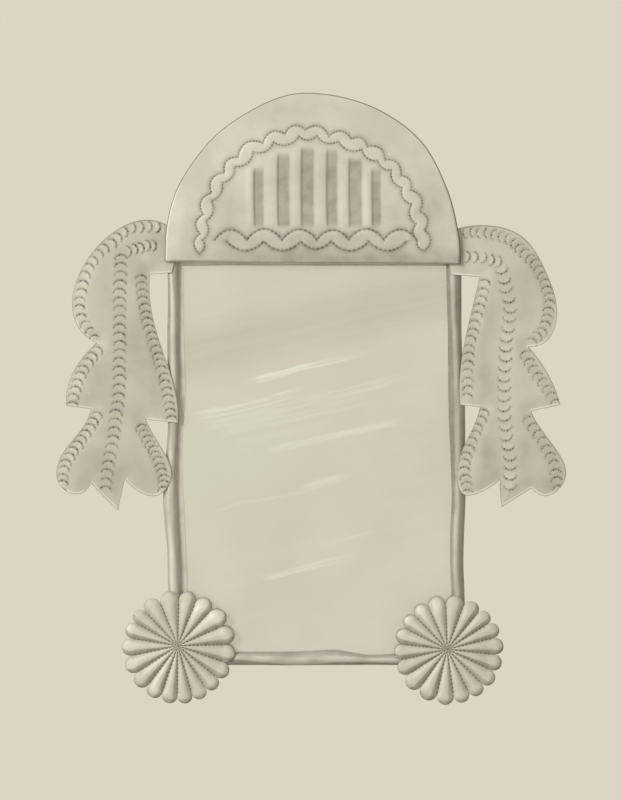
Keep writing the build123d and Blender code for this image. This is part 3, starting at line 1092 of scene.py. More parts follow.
@dataclass
class Pendant:
    """Flat sheet with a scalloped edge, its outline that of the CAD node, with rows of crescents.

    Its cells are halved within the reaches, in millimetres, of a crescent and of the edge. Past the strap,
    where the sheet is loose, it waves a little and its middle stands out by the crown.
    """

    node: str
    finish: TinFinish
    rows: Sequence[StampRow]
    washes: Sequence[Wash]
    seed: int
    punch: CrescentPunch = CrescentPunch()
    lit_edge_highlight: float = 0.6
    light: Point = (-0.3, -0.95)
    cell: float = 1.24 * MM
    reaches: Sequence[Point] = ((5.2, 2.4), (3.9, 1.7))
    loose_past: Point = (86, 96)
    crown: float = 0.9 * MM
    crown_width: float = 9.0
    wave_height: float = 0.28 * MM
    wave_length: float = 46 * MM

    def outline(self) -> Path:
        """Edge of the sheet, read from the CAD node's front.

        Returns:
            The closed edge as short steps.
        """
        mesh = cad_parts[self.node].data
        front = min(vertex.co.y for vertex in mesh.vertices) + 0.01 * MM
        used: dict[tuple[int, ...], int] = {}
        keys = [tuple(round(value / (0.002 * MM)) for value in vertex.co) for vertex in mesh.vertices]
        places = {key: vertex.co for key, vertex in zip(keys, mesh.vertices)}
        for face in mesh.polygons:
            corners = [keys[index] for index in face.vertices]
            if all(places[key].y < front for key in corners):
                for start, end in zip(corners, corners[1:] + corners[:1]):
                    used[tuple(sorted((start, end)))] = used.get(tuple(sorted((start, end))), 0) + 1
        following: dict[tuple[int, ...], list[tuple[int, ...]]] = {}
        for (start, end), count in used.items():
            if count == 1:
                following.setdefault(start, []).append(end)
                following.setdefault(end, []).append(start)
        here = min(following)
        ring = [here]
        before = None
        while len(ring) <= len(following):
            choices = [key for key in following[here] if key != before]
            before, here = here, choices[0]
            ring.append(here)
            if here == ring[0]:
                break
        return Path([(places[key].x, places[key].z) for key in ring])

    def lit_side(self, line: Path, place: Values) -> Values:
        """How far the edge nearest to each spot faces the light.

        Args:
            line: Closed edge.
            place: Nearest place on the edge, for each spot.

        Returns:
            -1 for away from the light to 1 for towards it.
        """
        x, z = line.points[:-1, 0], line.points[:-1, 1]
        turn = np.sign((x * np.roll(z, -1) - np.roll(x, -1) * z).sum())
        ways = line.headings(place)
        return turn * (self.light[0] * ways[:, 1] - self.light[1] * ways[:, 0])

    def cutter(self) -> Piece:
        """Prism of the node's outline.

        Returns:
            A closed prism, deeper than the sheet.
        """
        prism = node_copy(self.node)
        points = points_of(prism)
        middle = (points[:, 1].min() + points[:, 1].max()) / 2
        points[:, 1] = np.where(points[:, 1] < middle, middle - 5 * MM, middle + 5 * MM)
        set_points(prism, points)
        return prism

    def build(self) -> None:
        """Models and dresses the pendant."""
        low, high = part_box(self.node)
        sheet = EmbossedSheet(self.node.replace("_pendant", "_pendant_sheet"), PENDANT_FRONT, self.cell)
        piece = sheet.plate((low.x - MM, low.z - MM), (high.x + MM, high.z + MM))
        blows = [blow for index, row in enumerate(self.rows) for blow in row.blows(self.seed + index)]
        crowns = np.array([blow.spot for blow in blows])
        line = self.outline()

        def marked(spots: Values, blow_reach: float, edge_reach: float) -> Values:
            """Says which spots are marked.

            Args:
                spots: (x, z) rows.
                blow_reach: Millimetres from a crescent's crown that count as marked.
                edge_reach: Millimetres from the edge that count as marked.

            Returns:
                True for each spot that is marked.
            """
            gaps = np.hypot(spots[:, None, 0] - crowns[:, 0], spots[:, None, 1] - crowns[:, 1])
            near = line.measure(spots, 3 * MM)[0] < edge_reach * MM
            return near | (gaps.min(axis=1) < blow_reach * MM)

        for reach in self.reaches:
            sheet.refine(piece, lambda spots, reach=reach: marked(spots, *reach))
        relief = sheet.cut(piece, self.cutter())
        edge, _, place = line.measure(relief.spots, self.crown_width * MM)
        for blow in blows:
            self.punch.strike(relief, blow)
        relief.wash(self.washes)
        waves = Undulation(self.wave_height, self.wave_length, self.seed).at(relief.x, relief.z)
        crown = self.crown * rise(0, self.crown_width, edge) - self.crown / 2
        relief.height += rise(*self.loose_past, abs(relief.x)) * (waves + crown)
        # Painted shade: a dark outline, wider on edges that face away from the light. Painted highlight: a
        # pale strip inside edges that face it.
        lit = self.lit_side(line, place)
        shaded = np.clip(-lit, 0, 1)
        relief.darken(0.5 * fall(0.1, 0.4, edge))
        relief.darken(0.5 * shaded * fall(0.3, 0.9, edge))
        strip = rise(0.3, 0.5, edge) * fall(1.0, 1.5, edge)
        relief.painted_highlight += self.lit_edge_highlight * ease(0.35, 0.75, lit) * strip
        sheet.emboss(piece, relief)
        dress(piece, self.finish, [self.node])


LEFT_ROWS = (
    StampRow(
        [(-88.6, 132.0), (-97.1, 132.6), (-107.4, 130.9), (-115.1, 124.3), (-123.7, 116.9), (-129.7, 108.3),
         (-133.4, 96.3), (-134.6, 87.1), (-132.9, 79.1), (-127.4, 70.3)],
        4.7 * MM,
        backwards=True,
    ),
    StampRow(
        [(-123.1, 63.4), (-128.9, 56.0), (-133.4, 49.1), (-136.6, 40.6), (-138.3, 32.6)],
        4.3 * MM,
        backwards=True,
    ),
    StampRow([(-90.6, 122.3), (-98.0, 121.1), (-105.4, 118.9)], 3.8 * MM, True),
    StampRow(
        [(-111.1, 116.9), (-111.7, 90.9), (-111.7, 62.3), (-112.3, 36.3), (-116.3, 7.1), (-119.7, -16.0)],
        5.0 * MM,
        backwards=True,
        size=1.12,
    ),
    StampRow([(-99.7, 105.1), (-98.6, 92.6), (-95.1, 75.4), (-86.0, 44.6), (-82.3, 24.6)], 4.1 * MM, True),
    StampRow(
        [(-123.7, 26.6), (-128.0, 18.9), (-135.7, 7.4), (-142.0, -2.3), (-144.9, -16.6)],
        4.2 * MM,
        backwards=True,
    ),
    StampRow([(-100.6, 19.1), (-94.6, 8.9), (-90.0, -0.6), (-87.1, -10.3), (-86.9, -16.0)], 3.5 * MM, True),
)

RIGHT_ROWS = (
    StampRow(
        [(84.3, 129.1), (95.7, 129.1), (103.7, 128.0), (111.1, 125.1), (120.3, 117.1), (128.3, 107.4),
         (132.9, 95.4), (133.4, 86.6), (130.9, 74.9), (125.4, 68.0)],
        4.2 * MM,
        backwards=True,
    ),
    StampRow([(119.1, 61.1), (125.4, 49.7), (131.1, 42.3), (136.3, 33.4)], 4.6 * MM, True),
    StampRow([(88.3, 115.1), (96.3, 114.6), (106.3, 112.0)], 4.2 * MM),
    StampRow(
        [(107.1, 106.0), (109.4, 95.7), (111.1, 84.6), (109.4, 66.9), (108.0, 50.3), (108.0, 33.7),
         (108.9, 16.6), (111.1, -1.1), (111.7, -17.7)],
        5.6 * MM,
        size=1.15,
    ),
    StampRow([(97.4, 102.3), (94.0, 87.7), (88.6, 65.7), (87.4, 51.4), (87.1, 36.9)], 4.8 * MM, True),
    StampRow([(96.9, 28.0), (92.3, 16.0), (87.4, 4.0), (85.4, -5.1), (86.6, -17.7)], 4.3 * MM, True),
    StampRow([(120.3, 23.4), (128.3, 12.0), (135.4, -0.9), (138.3, -15.4)], 4.8 * MM, True),
)

LEFT_WASHES = (
    ((-100, 58), (9, 30), 0.22),
    ((-120, 92), (6, 22), 0.16),
    ((-124, 45), (8, 12), 0.2),
    ((-124, -8), (8, 14), 0.2),
    ((-102, 0), (8, 16), 0.16),
    ((-104, 108), (8, 6), 0.14),
)

RIGHT_WASHES = (
    ((97, 44), (6, 16), 0.26),
    ((100, 84), (5, 18), 0.16),
    ((120, 78), (6, 20), 0.08),
    ((118, 46), (5, 12), 0.14),
    ((99, 4), (7, 16), 0.36),
    ((120, 2), (6, 16), 0.26),
    ((130, -14), (8, 5), 0.18),
    # Painted shadow of the lunette on the strap beside its right edge.
    ((84, 119), (2.2, 12), 0.5),
    ((124, 108), (9, 9), 0.16),
)


@dataclass
class Lunette:
    """Arched crest: a face with ribs and wavy ribbons, its arched edge dressed back as a rim, and a hem.

    The bulges are the heights of the arcs between the cusps of the chased lines, as shares of their chords.
    """

    finish: TinFinish = SHEET_TIN
    cell: float = 1.24 * MM
    waves: Undulation = Undulation(0.13 * MM, 60 * MM, 11)
    arch_chisel: ChasedLine = ChasedLine()
    foot_chisel: ChasedLine = ChasedLine(2.6 * MM, 0.72, line=0.58 * MM)
    bulges: Sequence[float] = (0.3, -0.22, 0.31, -0.25)
    crown: float = 0.06 * MM
    rim_width: float = 1.0 * MM
    rim_drop: float = 1.6 * MM
    rib_rise: float = 0.3 * MM
    rib_start: float = -40.4
    rib_top: float = 180.0 * MM
    rib_waver: float = 0.2 * MM
    bay_depth: float = 0.22 * MM
    bay_foot: float = 132.0 * MM
    ribbon_rise: float = 0.22 * MM
    hem_back: float = 4.5 * MM
    hem_half_length: float = 74.0 * MM
    bays: Sequence[Spot] = (
        (-34.9, -29.7, 167.0), (-21.4, -14.9, 175.3), (-7.9, -1.0, 178.9), (6.6, 12.5, 177.7),
        (19.4, 26.6, 172.9), (32.5, 37.4, 166.6),
    )
    arch: Sequence[Point] = (
        (-86.2, 112.8), (-84.7, 135.5), (-76.4, 159.8), (-54.9, 186.9), (-23.3, 205.7), (3.0, 208.8),
        (34.0, 200.6), (60.1, 182.0), (75.2, 154.6), (81.8, 129.0), (83.0, 111.4),
    )
    outer_cusps: Sequence[Point] = (
        (-66.0, 117.4), (-65.8, 128.6), (-63.9, 139.7), (-59.3, 151.8), (-51.8, 163.4), (-44.1, 172.3),
        (-29.8, 180.3), (-17.4, 185.6), (-5.7, 187.8), (7.7, 184.0), (20.7, 182.5), (29.7, 178.2),
        (39.6, 170.7), (48.7, 161.7), (54.2, 153.4), (59.4, 141.3), (62.2, 130.7), (62.2, 119.0),
    )
    inner_cusps: Sequence[Point] = (
        (-65.2, 118.2), (-64.5, 124.9), (-62.6, 135.7), (-59.5, 147.5), (-53.4, 157.7), (-46.2, 167.0),
        (-35.4, 175.4), (-23.9, 180.9), (-9.4, 184.3), (0.9, 184.6), (13.3, 181.5), (26.6, 176.9),
        (35.9, 170.4), (43.5, 165.1), (49.5, 154.9), (55.1, 145.3), (57.6, 134.2), (58.2, 124.9),
        (61.2, 119.4),
    )
    foot_upper: Sequence[Point] = (
        (-57.4, 125.1), (-39.1, 125.1), (-18.9, 124.9), (0.9, 124.9), (19.1, 125.1), (39.1, 125.1),
        (58.0, 125.1),
    )
    foot_lower: Sequence[Point] = (
        (-50.6, 124.3), (-29.4, 124.3), (-8.3, 124.3), (9.1, 124.3), (30.6, 124.3), (52.0, 124.3),
    )
    washes: Sequence[Wash] = (
        ((0, 150), (46, 20), 0.07),
        ((0, 125), (56, 4), 0.2),
        ((66, 146), (8, 24), 0.24),
        ((45, 140), (12, 10), 0.2),
        ((-50, 138), (8, 16), 0.12),
        ((-72, 132), (5, 20), 0.12),
        ((-10, 199), (26, 4), 0.08),
    )

    def foot_z(self, x: Values | float) -> Values | float:
        """Height of the straight foot, which falls a little to the right."""
        (left_x, left_z), (right_x, right_z) = self.arch[0], self.arch[-1]
        return left_z * MM + (x - left_x * MM) * (right_z - left_z) / (right_x - left_x)

    def cutter(self, edge: Path) -> Piece:
        """Prism of the lunette's outline.

        Args:
            edge: Arched edge, from the left end to the right.

        Returns:
            A closed prism, deeper than the sheet.
        """
        corners = [(x, -FACE_FRONT - 5 * MM, z) for x, z in edge.points]
        mesh = bpy.data.meshes.new("cutter")
        mesh.from_pydata(corners, [], [list(range(len(corners)))])
        prism = link("cutter", mesh)
        with editing(prism):
            bpy.ops.mesh.extrude_region_move(TRANSFORM_OT_translate={"value": (0, 10 * MM, 0)})
            bpy.ops.mesh.select_all(action="SELECT")
            bpy.ops.mesh.normals_make_consistent(inside=False)
        return prism

    def ribbon(self, relief: Relief, upper: Path, lower: Path, chisel: ChasedLine) -> None:
        """Raises the sheet between two chased lines.

        Args:
            relief: Sheet to mark.
            upper: Line on the outer side, run from left to right.
            lower: Line on the inner side, run from left to right.
            chisel: Tool that chases both lines.
        """
        above = upper.measure(relief.spots, 7 * MM)
        below = lower.measure(relief.spots, 7 * MM)
        loop = Path(np.concatenate((upper.points, lower.points[::-1])))
        raised = loop.within(relief.spots) * rise(0, 1.6, np.minimum(above[0], below[0]))
        relief.height += self.ribbon_rise * raised
        chisel.strike(relief, above, 1)
        chisel.strike(relief, below, -1)

    def flutes(self, relief: Relief) -> None:
        """Raises the upright ribs, each swelling to the right, and sinks the bays beside them, which are
        painted in shade with dark lines along their edges.

        Args:
            relief: Sheet to mark.
        """
        start = self.rib_start * MM
        waver = self.rib_waver * np.sin(relief.z / (9 * MM))
        foot = ease(self.bay_foot - 1 * MM, self.bay_foot + 3 * MM, relief.z)
        for left, right, top in self.bays:
            left, right, top = left * MM + waver, right * MM + waver, top * MM
            ends = foot * (1 - ease(top - 4 * MM, top + 0.5 * MM, relief.z))
            swell = ease(start, start + 0.7 * (left - start), relief.x)
            swell = swell * (1 - ease(left - 1.0 * MM, left + 0.1 * MM, relief.x)) * (relief.x > start)
            relief.height += self.rib_rise * ends * swell
            relief.tarnish_and_shade += 0.08 * ends * swell
            inside = ease(left - 0.2 * MM, left + 0.3 * MM, relief.x)
            inside = inside * (1 - ease(right - 0.5 * MM, right + 0.3 * MM, relief.x))
            relief.height -= self.bay_depth * inside * ends
            # Painted shade in the bays, darkest in a line at their left edges, where the ribs would shade
            # them.
            relief.tarnish_and_shade += 0.58 * inside * ends
            relief.darken(0.42 * bell(relief.x - left, 0.5 * MM) * ends)
            relief.darken(0.2 * bell(relief.x - right, 0.5 * MM) * ends)
            start = right

    def rim(self, relief: Relief, gap: Values) -> None:
        """Turns the arched edge back and marks it: a painted dark outline, a painted highlight low on the
        left and painted shade on the right.

        Args:
            relief: Sheet to mark.
            gap: Distance of each spot from the arched edge.
        """
        roll = 1 - np.clip(gap / self.rim_width, 0, 1)
        relief.height -= self.rim_drop * (1 - np.sqrt(np.clip(1 - roll**2, 0, 1)))
        # Painted shade: a dark outline along the edge.
        relief.darken(0.8 * fall(0.3, 0.75, gap))
        # Painted highlight: a pale strip inside the edge, low on the left.
        width = np.interp(relief.z, (112.6 * MM, 153.7 * MM), (1.4 * MM, 1.0 * MM))
        strip = rise(0.5, 0.8, gap) * (1 - ease(width, width + 0.5 * MM, gap))
        strip = strip * (relief.x < 0) * fall(149, 158, relief.z)
        relief.painted_highlight = np.maximum(relief.painted_highlight, 0.45 * strip * rise(113.5, 115, relief.z))
        # Painted shade inside the edge on the right.
        painted_shade = fall(0.8, 2.4, gap) * (relief.x > 0)
        relief.tarnish_and_shade += 0.4 * painted_shade * fall(140, 165, relief.z)

    def hem(self) -> Piece:
        """Hem along the foot, folded back to the frame.

        Returns:
            The new object.
        """
        front = FACE_FRONT - SHEET / 2

        def shape(s: Values, t: Values) -> Values:
            """Spreads the grid along the foot.

            Args:
                s: Shares of the way along the foot.
                t: Shares of the way back to the frame.

            Returns:
                (x, y, z) rows.
            """
            x = (2 * s - 1) * self.hem_half_length
            depth = front - t * (front - self.hem_back)
            return np.stack((x, -depth, self.foot_z(x) + 0.02 * MM), axis=1)

        piece = mapped_grid("lunette_hem", 60, 4, shape)
        thicken(piece, 1.0)
        return piece

    def build(self) -> None:
        """Models and dresses the lunette."""
        edge = Path.curved(metres(self.arch), 14)
        chains = (self.outer_cusps, self.inner_cusps, self.foot_upper, self.foot_lower)
        lines = [Path.scalloped(metres(chain), bulge) for chain, bulge in zip(chains, self.bulges)]
        sheet = EmbossedSheet("lunette_sheet", FACE_FRONT, self.cell)
        low, high = edge.points.min(0) - MM, edge.points.max(0) + MM
        piece = sheet.plate((low[0], low[1]), (high[0], high[1]))
        left_x, right_x = self.rib_start * MM - 2 * MM, self.bays[-1][1] * MM + 2 * MM

        def marked(spots: Values, rim_reach: float, line_reach: float) -> Values:
            """Says which spots are marked.

            Args:
                spots: (x, z) rows.
                rim_reach: Millimetres from the rim that count as marked.
                line_reach: Millimetres from a chased line that count as marked.

            Returns:
                True for each spot that is marked.
            """
            near = edge.measure(spots, 3 * MM)[0] < rim_reach * MM
            for line in lines:
                near |= line.measure(spots, 3 * MM)[0] < line_reach * MM
            return near

        def fluted(spots: Values) -> Values:
            """Says which spots lie among the ribs."""
            across = (spots[:, 0] > left_x) & (spots[:, 0] < right_x)
            return across & (spots[:, 1] > self.bay_foot - 3 * MM) & (spots[:, 1] < self.rib_top)

        sheet.refine(piece, lambda spots: fluted(spots) | marked(spots, 2.6, 2.4))
        sheet.refine(piece, lambda spots: marked(spots, 1.5, 0.95))
        relief = sheet.cut(piece, self.cutter(edge))
        self.flutes(relief)
        self.ribbon(relief, lines[0], lines[1], self.arch_chisel)
        self.ribbon(relief, lines[2], lines[3], self.foot_chisel)
        gap, _, _ = edge.measure(relief.spots, 12 * MM)
        self.rim(relief, gap)
        foot = relief.z - self.foot_z(relief.x)
        relief.height += self.waves.at(relief.x, relief.z) * rise(0, 10, gap) * rise(0, 6, foot)
        relief.height += self.crown * rise(0, 14, gap)
        # Painted shade: a dark line along the foot and darker tone above it, stronger on the right half and
        # over the middle.
        relief.darken(0.6 * fall(0.1, 0.6, foot))
        painted_shade = 0.3 * fall(1, 13, foot) * rise(-60, 0, relief.x) + 0.2 * fall(1, 12, foot)
        relief.tarnish_and_shade += painted_shade + 0.14 * fall(14, 26, foot) * fall(48, 62, abs(relief.x))
        relief.wash(self.washes)
        sheet.emboss(piece, relief)
        hem = self.hem()
        only(piece)
        hem.select_set(True)
        bpy.ops.object.join()
        smooth(piece, 60)
        dress(piece, self.finish, ["lunette"])


@dataclass
class Rosette:
    """Fluted dome of rounded petals, a chased line in every valley, within the box of its CAD node.

    The petals are given by bearing in degrees and the strength of a painted highlight on their ends. Their
    sides that face away from the light are painted in shade.
    """

    side: str
    hub: Point
    petals: Sequence[Point]
    finish: TinFinish = ROSETTE_TIN
    around: int = 20
    rings: int = 108
    middle_rise: float = 1.2 * MM
    petal_rise: float = 1.12 * MM
    reaches: Point = (0.975, 1.0)
    lofts: Point = (0.88, 1.08)
    pitch: float = 2.2 * MM
    line_depth: float = 0.18 * MM
    line_width: Point = (0.17 * MM, 0.34 * MM)
    floor: float = 0.1
    seam: float = 0.004 * MM
    away: Point = (0.42, -0.9)
    seed: int = 5

    def build(self) -> None:
        """Models and dresses the rosette."""
        draw = random.Random(self.seed)
        low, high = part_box(f"{self.side}_rosette")
        spread = ((low.x, high.x), (low.z, high.z))
        count = len(self.petals)
        bearing = np.radians([given for given, _ in self.petals])
        gleam = np.array([shine for _, shine in self.petals])
        after = (bearing + np.append(bearing[1:], bearing[0] + 2 * math.pi)) / 2
        before = np.append(after[-1] - 2 * math.pi, after[:-1])
        middle, half = (before + after) / 2, (after - before) / 2
        reach = np.array([draw.uniform(*self.reaches) for _ in range(count)]) * (high.x - low.x) / 2
        loft = np.array([draw.uniform(*self.lofts) for _ in range(count)])
        stem = reach / (1 + np.sin(half))
        tip = stem * np.sin(half)
        foot = stem * np.cos(half)
        foot_after = (foot + np.roll(foot, -1)) / 2
        foot_before = np.roll(foot_after, 1)
        marks: dict[str, Values] = {}

        def shape(s: Values, t: Values) -> Values:
            """Bends the grid into a ring of petals.

            Args:
                s: Shares of the way round the rosette.
                t: Shares of the way from its edge to its hub.

            Returns:
                (x, y, z) rows.
            """
            k = np.minimum((s * count + 1e-6).astype(int), count - 1)
            u = 2 * (s * count - k) - 1
            off = half[k] * np.sin(math.pi / 2 * u)
            bulge = np.sqrt(np.clip(tip[k] ** 2 - (stem[k] * np.sin(off)) ** 2, 0, None))
            bulge = stem[k] * np.cos(off) + bulge - foot[k]
            limit = foot_before[k] + (foot_after[k] - foot_before[k]) * (u + 1) / 2 + bulge
            r = limit * (1 - t)
            along, across = r * np.cos(off), r * np.sin(off)
            beyond = np.clip(along - stem[k] * 0.985, 0, None) / tip[k]
            width = tip[k] * np.sqrt(np.clip(1 - (np.clip(along - stem[k], 0, None) / tip[k]) ** 2, 1e-6, 1))
            share = np.clip(abs(across) / np.minimum(along * np.tan(half[k]) + 1e-6, width), 0, 1)
            open_end = ease(foot[k] - 2 * MM, foot[k] + 1 * MM, r)
            rising = np.clip(share / (1 - self.floor * (1 - open_end)), 0, 1)
            puff = (1 - rising**2.2) ** (1.1 - 0.5 * open_end)
            end = np.sqrt(np.clip(1 - beyond**2.4, 0, 1))
            grow = ease(0, 1, r / (0.8 * stem[k])) * 0.85 + 0.15 * rise(0, 4, r)
            dome = self.middle_rise * (1 - (r / limit) ** 2)
            narrow, wide = self.line_width
            valley = bell(r * np.sin(half[k] - abs(off)), narrow + (wide - narrow) * rise(0, 7, r))
            run = rise(0.6, 1.6, r) * (1 - ease(foot[k] - 1.6 * MM, foot[k] - 0.4 * MM, r))
            side = k + (off > 0)
            pulse = ease(-0.85, -0.1, np.cos(2 * math.pi * r / self.pitch + 2.1 * (side % count)))
            height = dome + self.petal_rise * loft[k] * grow * puff * end
            height = height - self.line_depth * valley * run * pulse
            turn = middle[k] + off
            across_light, along_light = self.away
            around = np.sign(off) * (along_light * np.cos(middle[k]) - across_light * np.sin(middle[k]))
            outward = across_light * np.cos(middle[k]) + along_light * np.sin(middle[k])
            rim = fall(0.1, 0.5, limit - r)
            # Grime and painted shade in the valleys' chased lines, and a dark outline painted darker where it
            # faces away from the light.
            lines = valley * np.maximum(run * (0.14 + 0.64 * pulse), 0.4 * fall(0, 2, r))
            marks["grime_and_shade"] = np.maximum(lines, rim * (0.42 + 0.22 * outward))
            # Painted shade on the petal sides and ends that face away from the light, in the valleys and at
            # the hub.
            marks["tarnish_and_shade"] = 0.7 * np.clip(0.15 + 1.1 * around, 0, 1) * ease(0.34, 0.46, share)
            marks["tarnish_and_shade"] *= 1 - 0.6 * valley * run
            marks["tarnish_and_shade"] += 0.6 * np.clip(0.1 + outward, 0, 1) * ease(0.2, 0.8, beyond)
            marks["tarnish_and_shade"] += 0.1 * (1 - puff) + 0.08 * fall(0, 8, r)
            # Painted highlight on the petal tops and on the gleaming ends.
            shine = bell(along - stem[k], 0.85 * tip[k]) * (1 - ease(0.3, 0.8, share))
            marks["painted_highlight"] = 0.06 * puff * end * grow + gleam[k] * shine
            flat = np.stack((r * np.cos(turn), r * np.sin(turn)), axis=1)
            for axis, (least, most) in enumerate(spread):
                ends = flat[:, axis].min(), flat[:, axis].max()
                flat[:, axis] = least + (flat[:, axis] - ends[0]) * (most - least) / (ends[1] - ends[0])
            inner = 1 - np.clip(r / limit, 0, 1)
            centre = flat[r < 1e-6].mean(axis=0)
            flat += inner[:, None] * (np.array(self.hub) * MM - centre)
            return np.stack((flat[:, 0], -BEAD_CREST - SHEET - height, flat[:, 1]), axis=1)

        piece = mapped_grid(f"{self.side}_rosette_dome", count * self.around, self.rings, shape)
        keep_marks(piece, marks)
        merge(piece, self.seam)
        thicken(piece)
        smooth(piece, 60)
        dress(piece, self.finish, [f"{self.side}_rosette"])


LEFT_PETALS = (
    (-159.1, 0.55), (-137.6, 0.2), (-119.2, 0.6), (-99.5, 0.0), (-83.1, 0.1), (-64.9, 0.1), (-47.9, 0.2),
    (-28.9, 0.35), (-8.2, 0.4), (13.7, 0.35), (36.8, 0.7), (60.0, 0.6), (78.3, 0.1), (100.9, 0.15),
    (123.9, 0.1), (142.1, 0.0), (159.1, 0.1), (180.3, 0.3),
)

RIGHT_PETALS = (
    (-159.0, 0.1), (-138.9, 0.1), (-115.2, 0.15), (-94.1, 0.1), (-73.3, 0.2), (-55.5, 0.2), (-35.0, 0.2),
    (-15.4, 0.2), (4.7, 0.25), (25.2, 0.15), (42.5, 0.0), (60.9, 0.05), (82.2, 0.25), (104.8, 0.75),
    (125.1, 0.6), (143.6, 0.15), (163.3, 0.0), (182.3, 0.0),
)


@dataclass
class Bead:
    """Half-round moulding, bent by hand, between two wavering edges given at stations along it.

    Where its painted highlight runs, where its painted shade begins and how dark its near edge is painted are
    given along it too. Places along it are in millimetres, and gleam and dusk are shares of its width. The
    wave is a height and a length.
    """

    side: str
    stations: Sequence[Spot]
    gleam: Sequence[Point]
    dusk: Sequence[Point]
    edge: Sequence[Point]
    upright: bool = True
    finish: TinFinish = BEAD_TIN
    crest: float = 3.9 * MM
    dent: float = 0.25 * MM
    wave: Point = (0.22 * MM, 34 * MM)
    cells: int = 26
    cell: float = 1.1 * MM
    seed: int = 3
    darker: float = 0.42
    shine: float = 0.42

    def build(self) -> None:
        """Models and dresses the bead."""
        table = np.array(self.stations, float) * MM
        first = Path.curved([(place, low) for place, low, _ in table], 16)
        second = Path.curved([(place, high) for place, _, high in table], 16)
        start, end = table[0, 0], table[-1, 0]
        waves = Undulation(*self.wave, self.seed)
        marks: dict[str, Values] = {}

        def shape(s: Values, t: Values) -> Values:
            """Arches the grid across the bead.

            Args:
                s: Shares of the way across the bead.
                t: Shares of the way along it.

            Returns:
                (x, y, z) rows.
            """
            along = start + (end - start) * t
            low = np.interp(along, first.points[:, 0], first.points[:, 1])
            high = np.interp(along, second.points[:, 0], second.points[:, 1])
            angle = math.pi * (1 - s)
            middle, half = (low + high) / 2, (high - low) / 2
            across = middle + half * np.cos(angle)
            dents = np.clip(waves.at(along, across * 0.6), -0.4 * MM, self.dent)
            height = np.sin(angle) ** 0.9 * (self.crest - self.dent + dents)
            streak = waves.at(along * 1.2 + 7 * MM, across * 3) / self.wave[0]
            lit, dusk, edge = (
                np.interp(along / MM, *zip(*track)) for track in (self.gleam, self.dusk, self.edge)
            )
            share = s if self.upright else 1 - s
            # Painted shade over the side away from the light and along the near edge, with random darker
            # streaks.
            marks["tarnish_and_shade"] = self.darker * ease(dusk - 0.07, dusk + 0.07, share)
            near = edge * (1 - ease(lit - 0.17, lit - 0.07, share))
            marks["tarnish_and_shade"] += near + 0.1 * ease(0.1, 0.9, streak)
            # Grime and painted shade: dark lines along both edges, on the near edge and where the shade
            # begins.
            rims = 0.5 * (1 - ease(0.0, 0.04, share)) + 0.45 * ease(0.95, 1.0, share)
            marks["grime_and_shade"] = rims + 0.3 * np.clip(near - 0.55, 0, 1) + 0.2 * bell(share - dusk, 0.05)
            # Painted highlight along the gleam.
            marks["painted_highlight"] = self.shine * bell(share - lit, 0.11) * ease(-0.9, 0.3, -streak)
            depth = LIP_FRONT + height
            if self.upright:
                return np.stack((across, -depth, along), axis=1)
            return np.stack((along, -depth, across), axis=1)

        length = int(abs(end - start) / self.cell)
        piece = mapped_grid(f"{self.side}_bead_moulding", self.cells, length, shape)
        keep_marks(piece, marks)
        if not self.upright:
            with editing(piece):
                bpy.ops.mesh.flip_normals()
        thicken(piece)
        smooth(piece, 60)
        dress(piece, self.finish, [f"{self.side}_bead"])


@dataclass
class Channel:
    """Folded channel on one side of the glass: rear flange, web and a front lip of given (place, width).

    The folds are the shares of the grid's width where the flange, the web and the lip begin and end. A wave
    is a height and a length.
    """

    side: str
    angle: float
    lip: Sequence[Point]
    finish: TinFinish = CHANNEL_TIN
    half_width: float = 84.5 * MM
    half_height: float = 118.0 * MM
    taper: float = 0.0
    line: float = 0.12
    flange: float = 8.0 * MM
    back: float = 0.4 * MM
    folds: Sequence[float] = (0.0, 0.25, 0.36, 1.0)
    lip_wave: Point = (0.15 * MM, 36 * MM)
    face_wave: Point = (0.1 * MM, 18 * MM)
    cells: int = 48
    seed: int = 21

    def build(self) -> None:
        """Models and dresses the channel."""
        lip_waves = Undulation(*self.lip_wave, self.seed)
        faces = Undulation(*self.face_wave, self.seed + 1)
        across_half, along_half = self.half_width, self.half_height
        if self.side in ("top", "bottom"):
            across_half, along_half = along_half, across_half
        lip = Path.curved(metres(self.lip), 16).points
        depths = (self.back, self.back, LIP_FRONT, LIP_FRONT)
        marks: dict[str, Values] = {}

        def shape(s: Values, t: Values) -> Values:
            """Folds the grid round the three leaves, with mitred ends.

            Args:
                s: Shares of the way across the leaves.
                t: Shares of the way along them.

            Returns:
                (x, y, z) rows.
            """
            depth = np.interp(s, self.folds, depths)
            way = 1 - 2 * t
            place = way * along_half * (math.sin(self.angle) - math.cos(self.angle))
            width = np.interp(place, lip[:, 0], lip[:, 1]) + lip_waves.at(place, 0 * way)
            inset = np.interp(s, self.folds[:3], (self.flange, 0.0, 0.0))
            inset = inset + width * np.clip((s - self.folds[2]) / (1 - self.folds[2]), 0, 1)
            inset = inset + self.taper * rise(45, 75, place)
            along = way * (along_half - inset)
            dents = faces.at(along, inset)
            depth = depth - ease(0.5, 0.9, s) * abs(dents)
            marks["grime_and_shade"] = self.line * ease(0.955, 1.0, s)
            marks["tarnish_and_shade"] = 0.1 * ease(0.5, 0.9, s) + 0.12 * ease(0.2, 0.9, dents / self.face_wave[0])
            marks["painted_highlight"] = np.zeros(len(s))
            out = across_half - inset
            cosine, sine = math.cos(self.angle), math.sin(self.angle)
            x, z = along * sine - out * cosine, -out * sine - along * cosine
            return np.stack((x, -depth, z), axis=1)

        piece = mapped_grid(f"{self.side}_channel_rail", self.cells, int(along_half / MM), shape)
        keep_marks(piece, marks)
        thicken(piece, even=True)
        smooth(piece, 30)
        dress(piece, self.finish, [f"{self.side}_channel"])


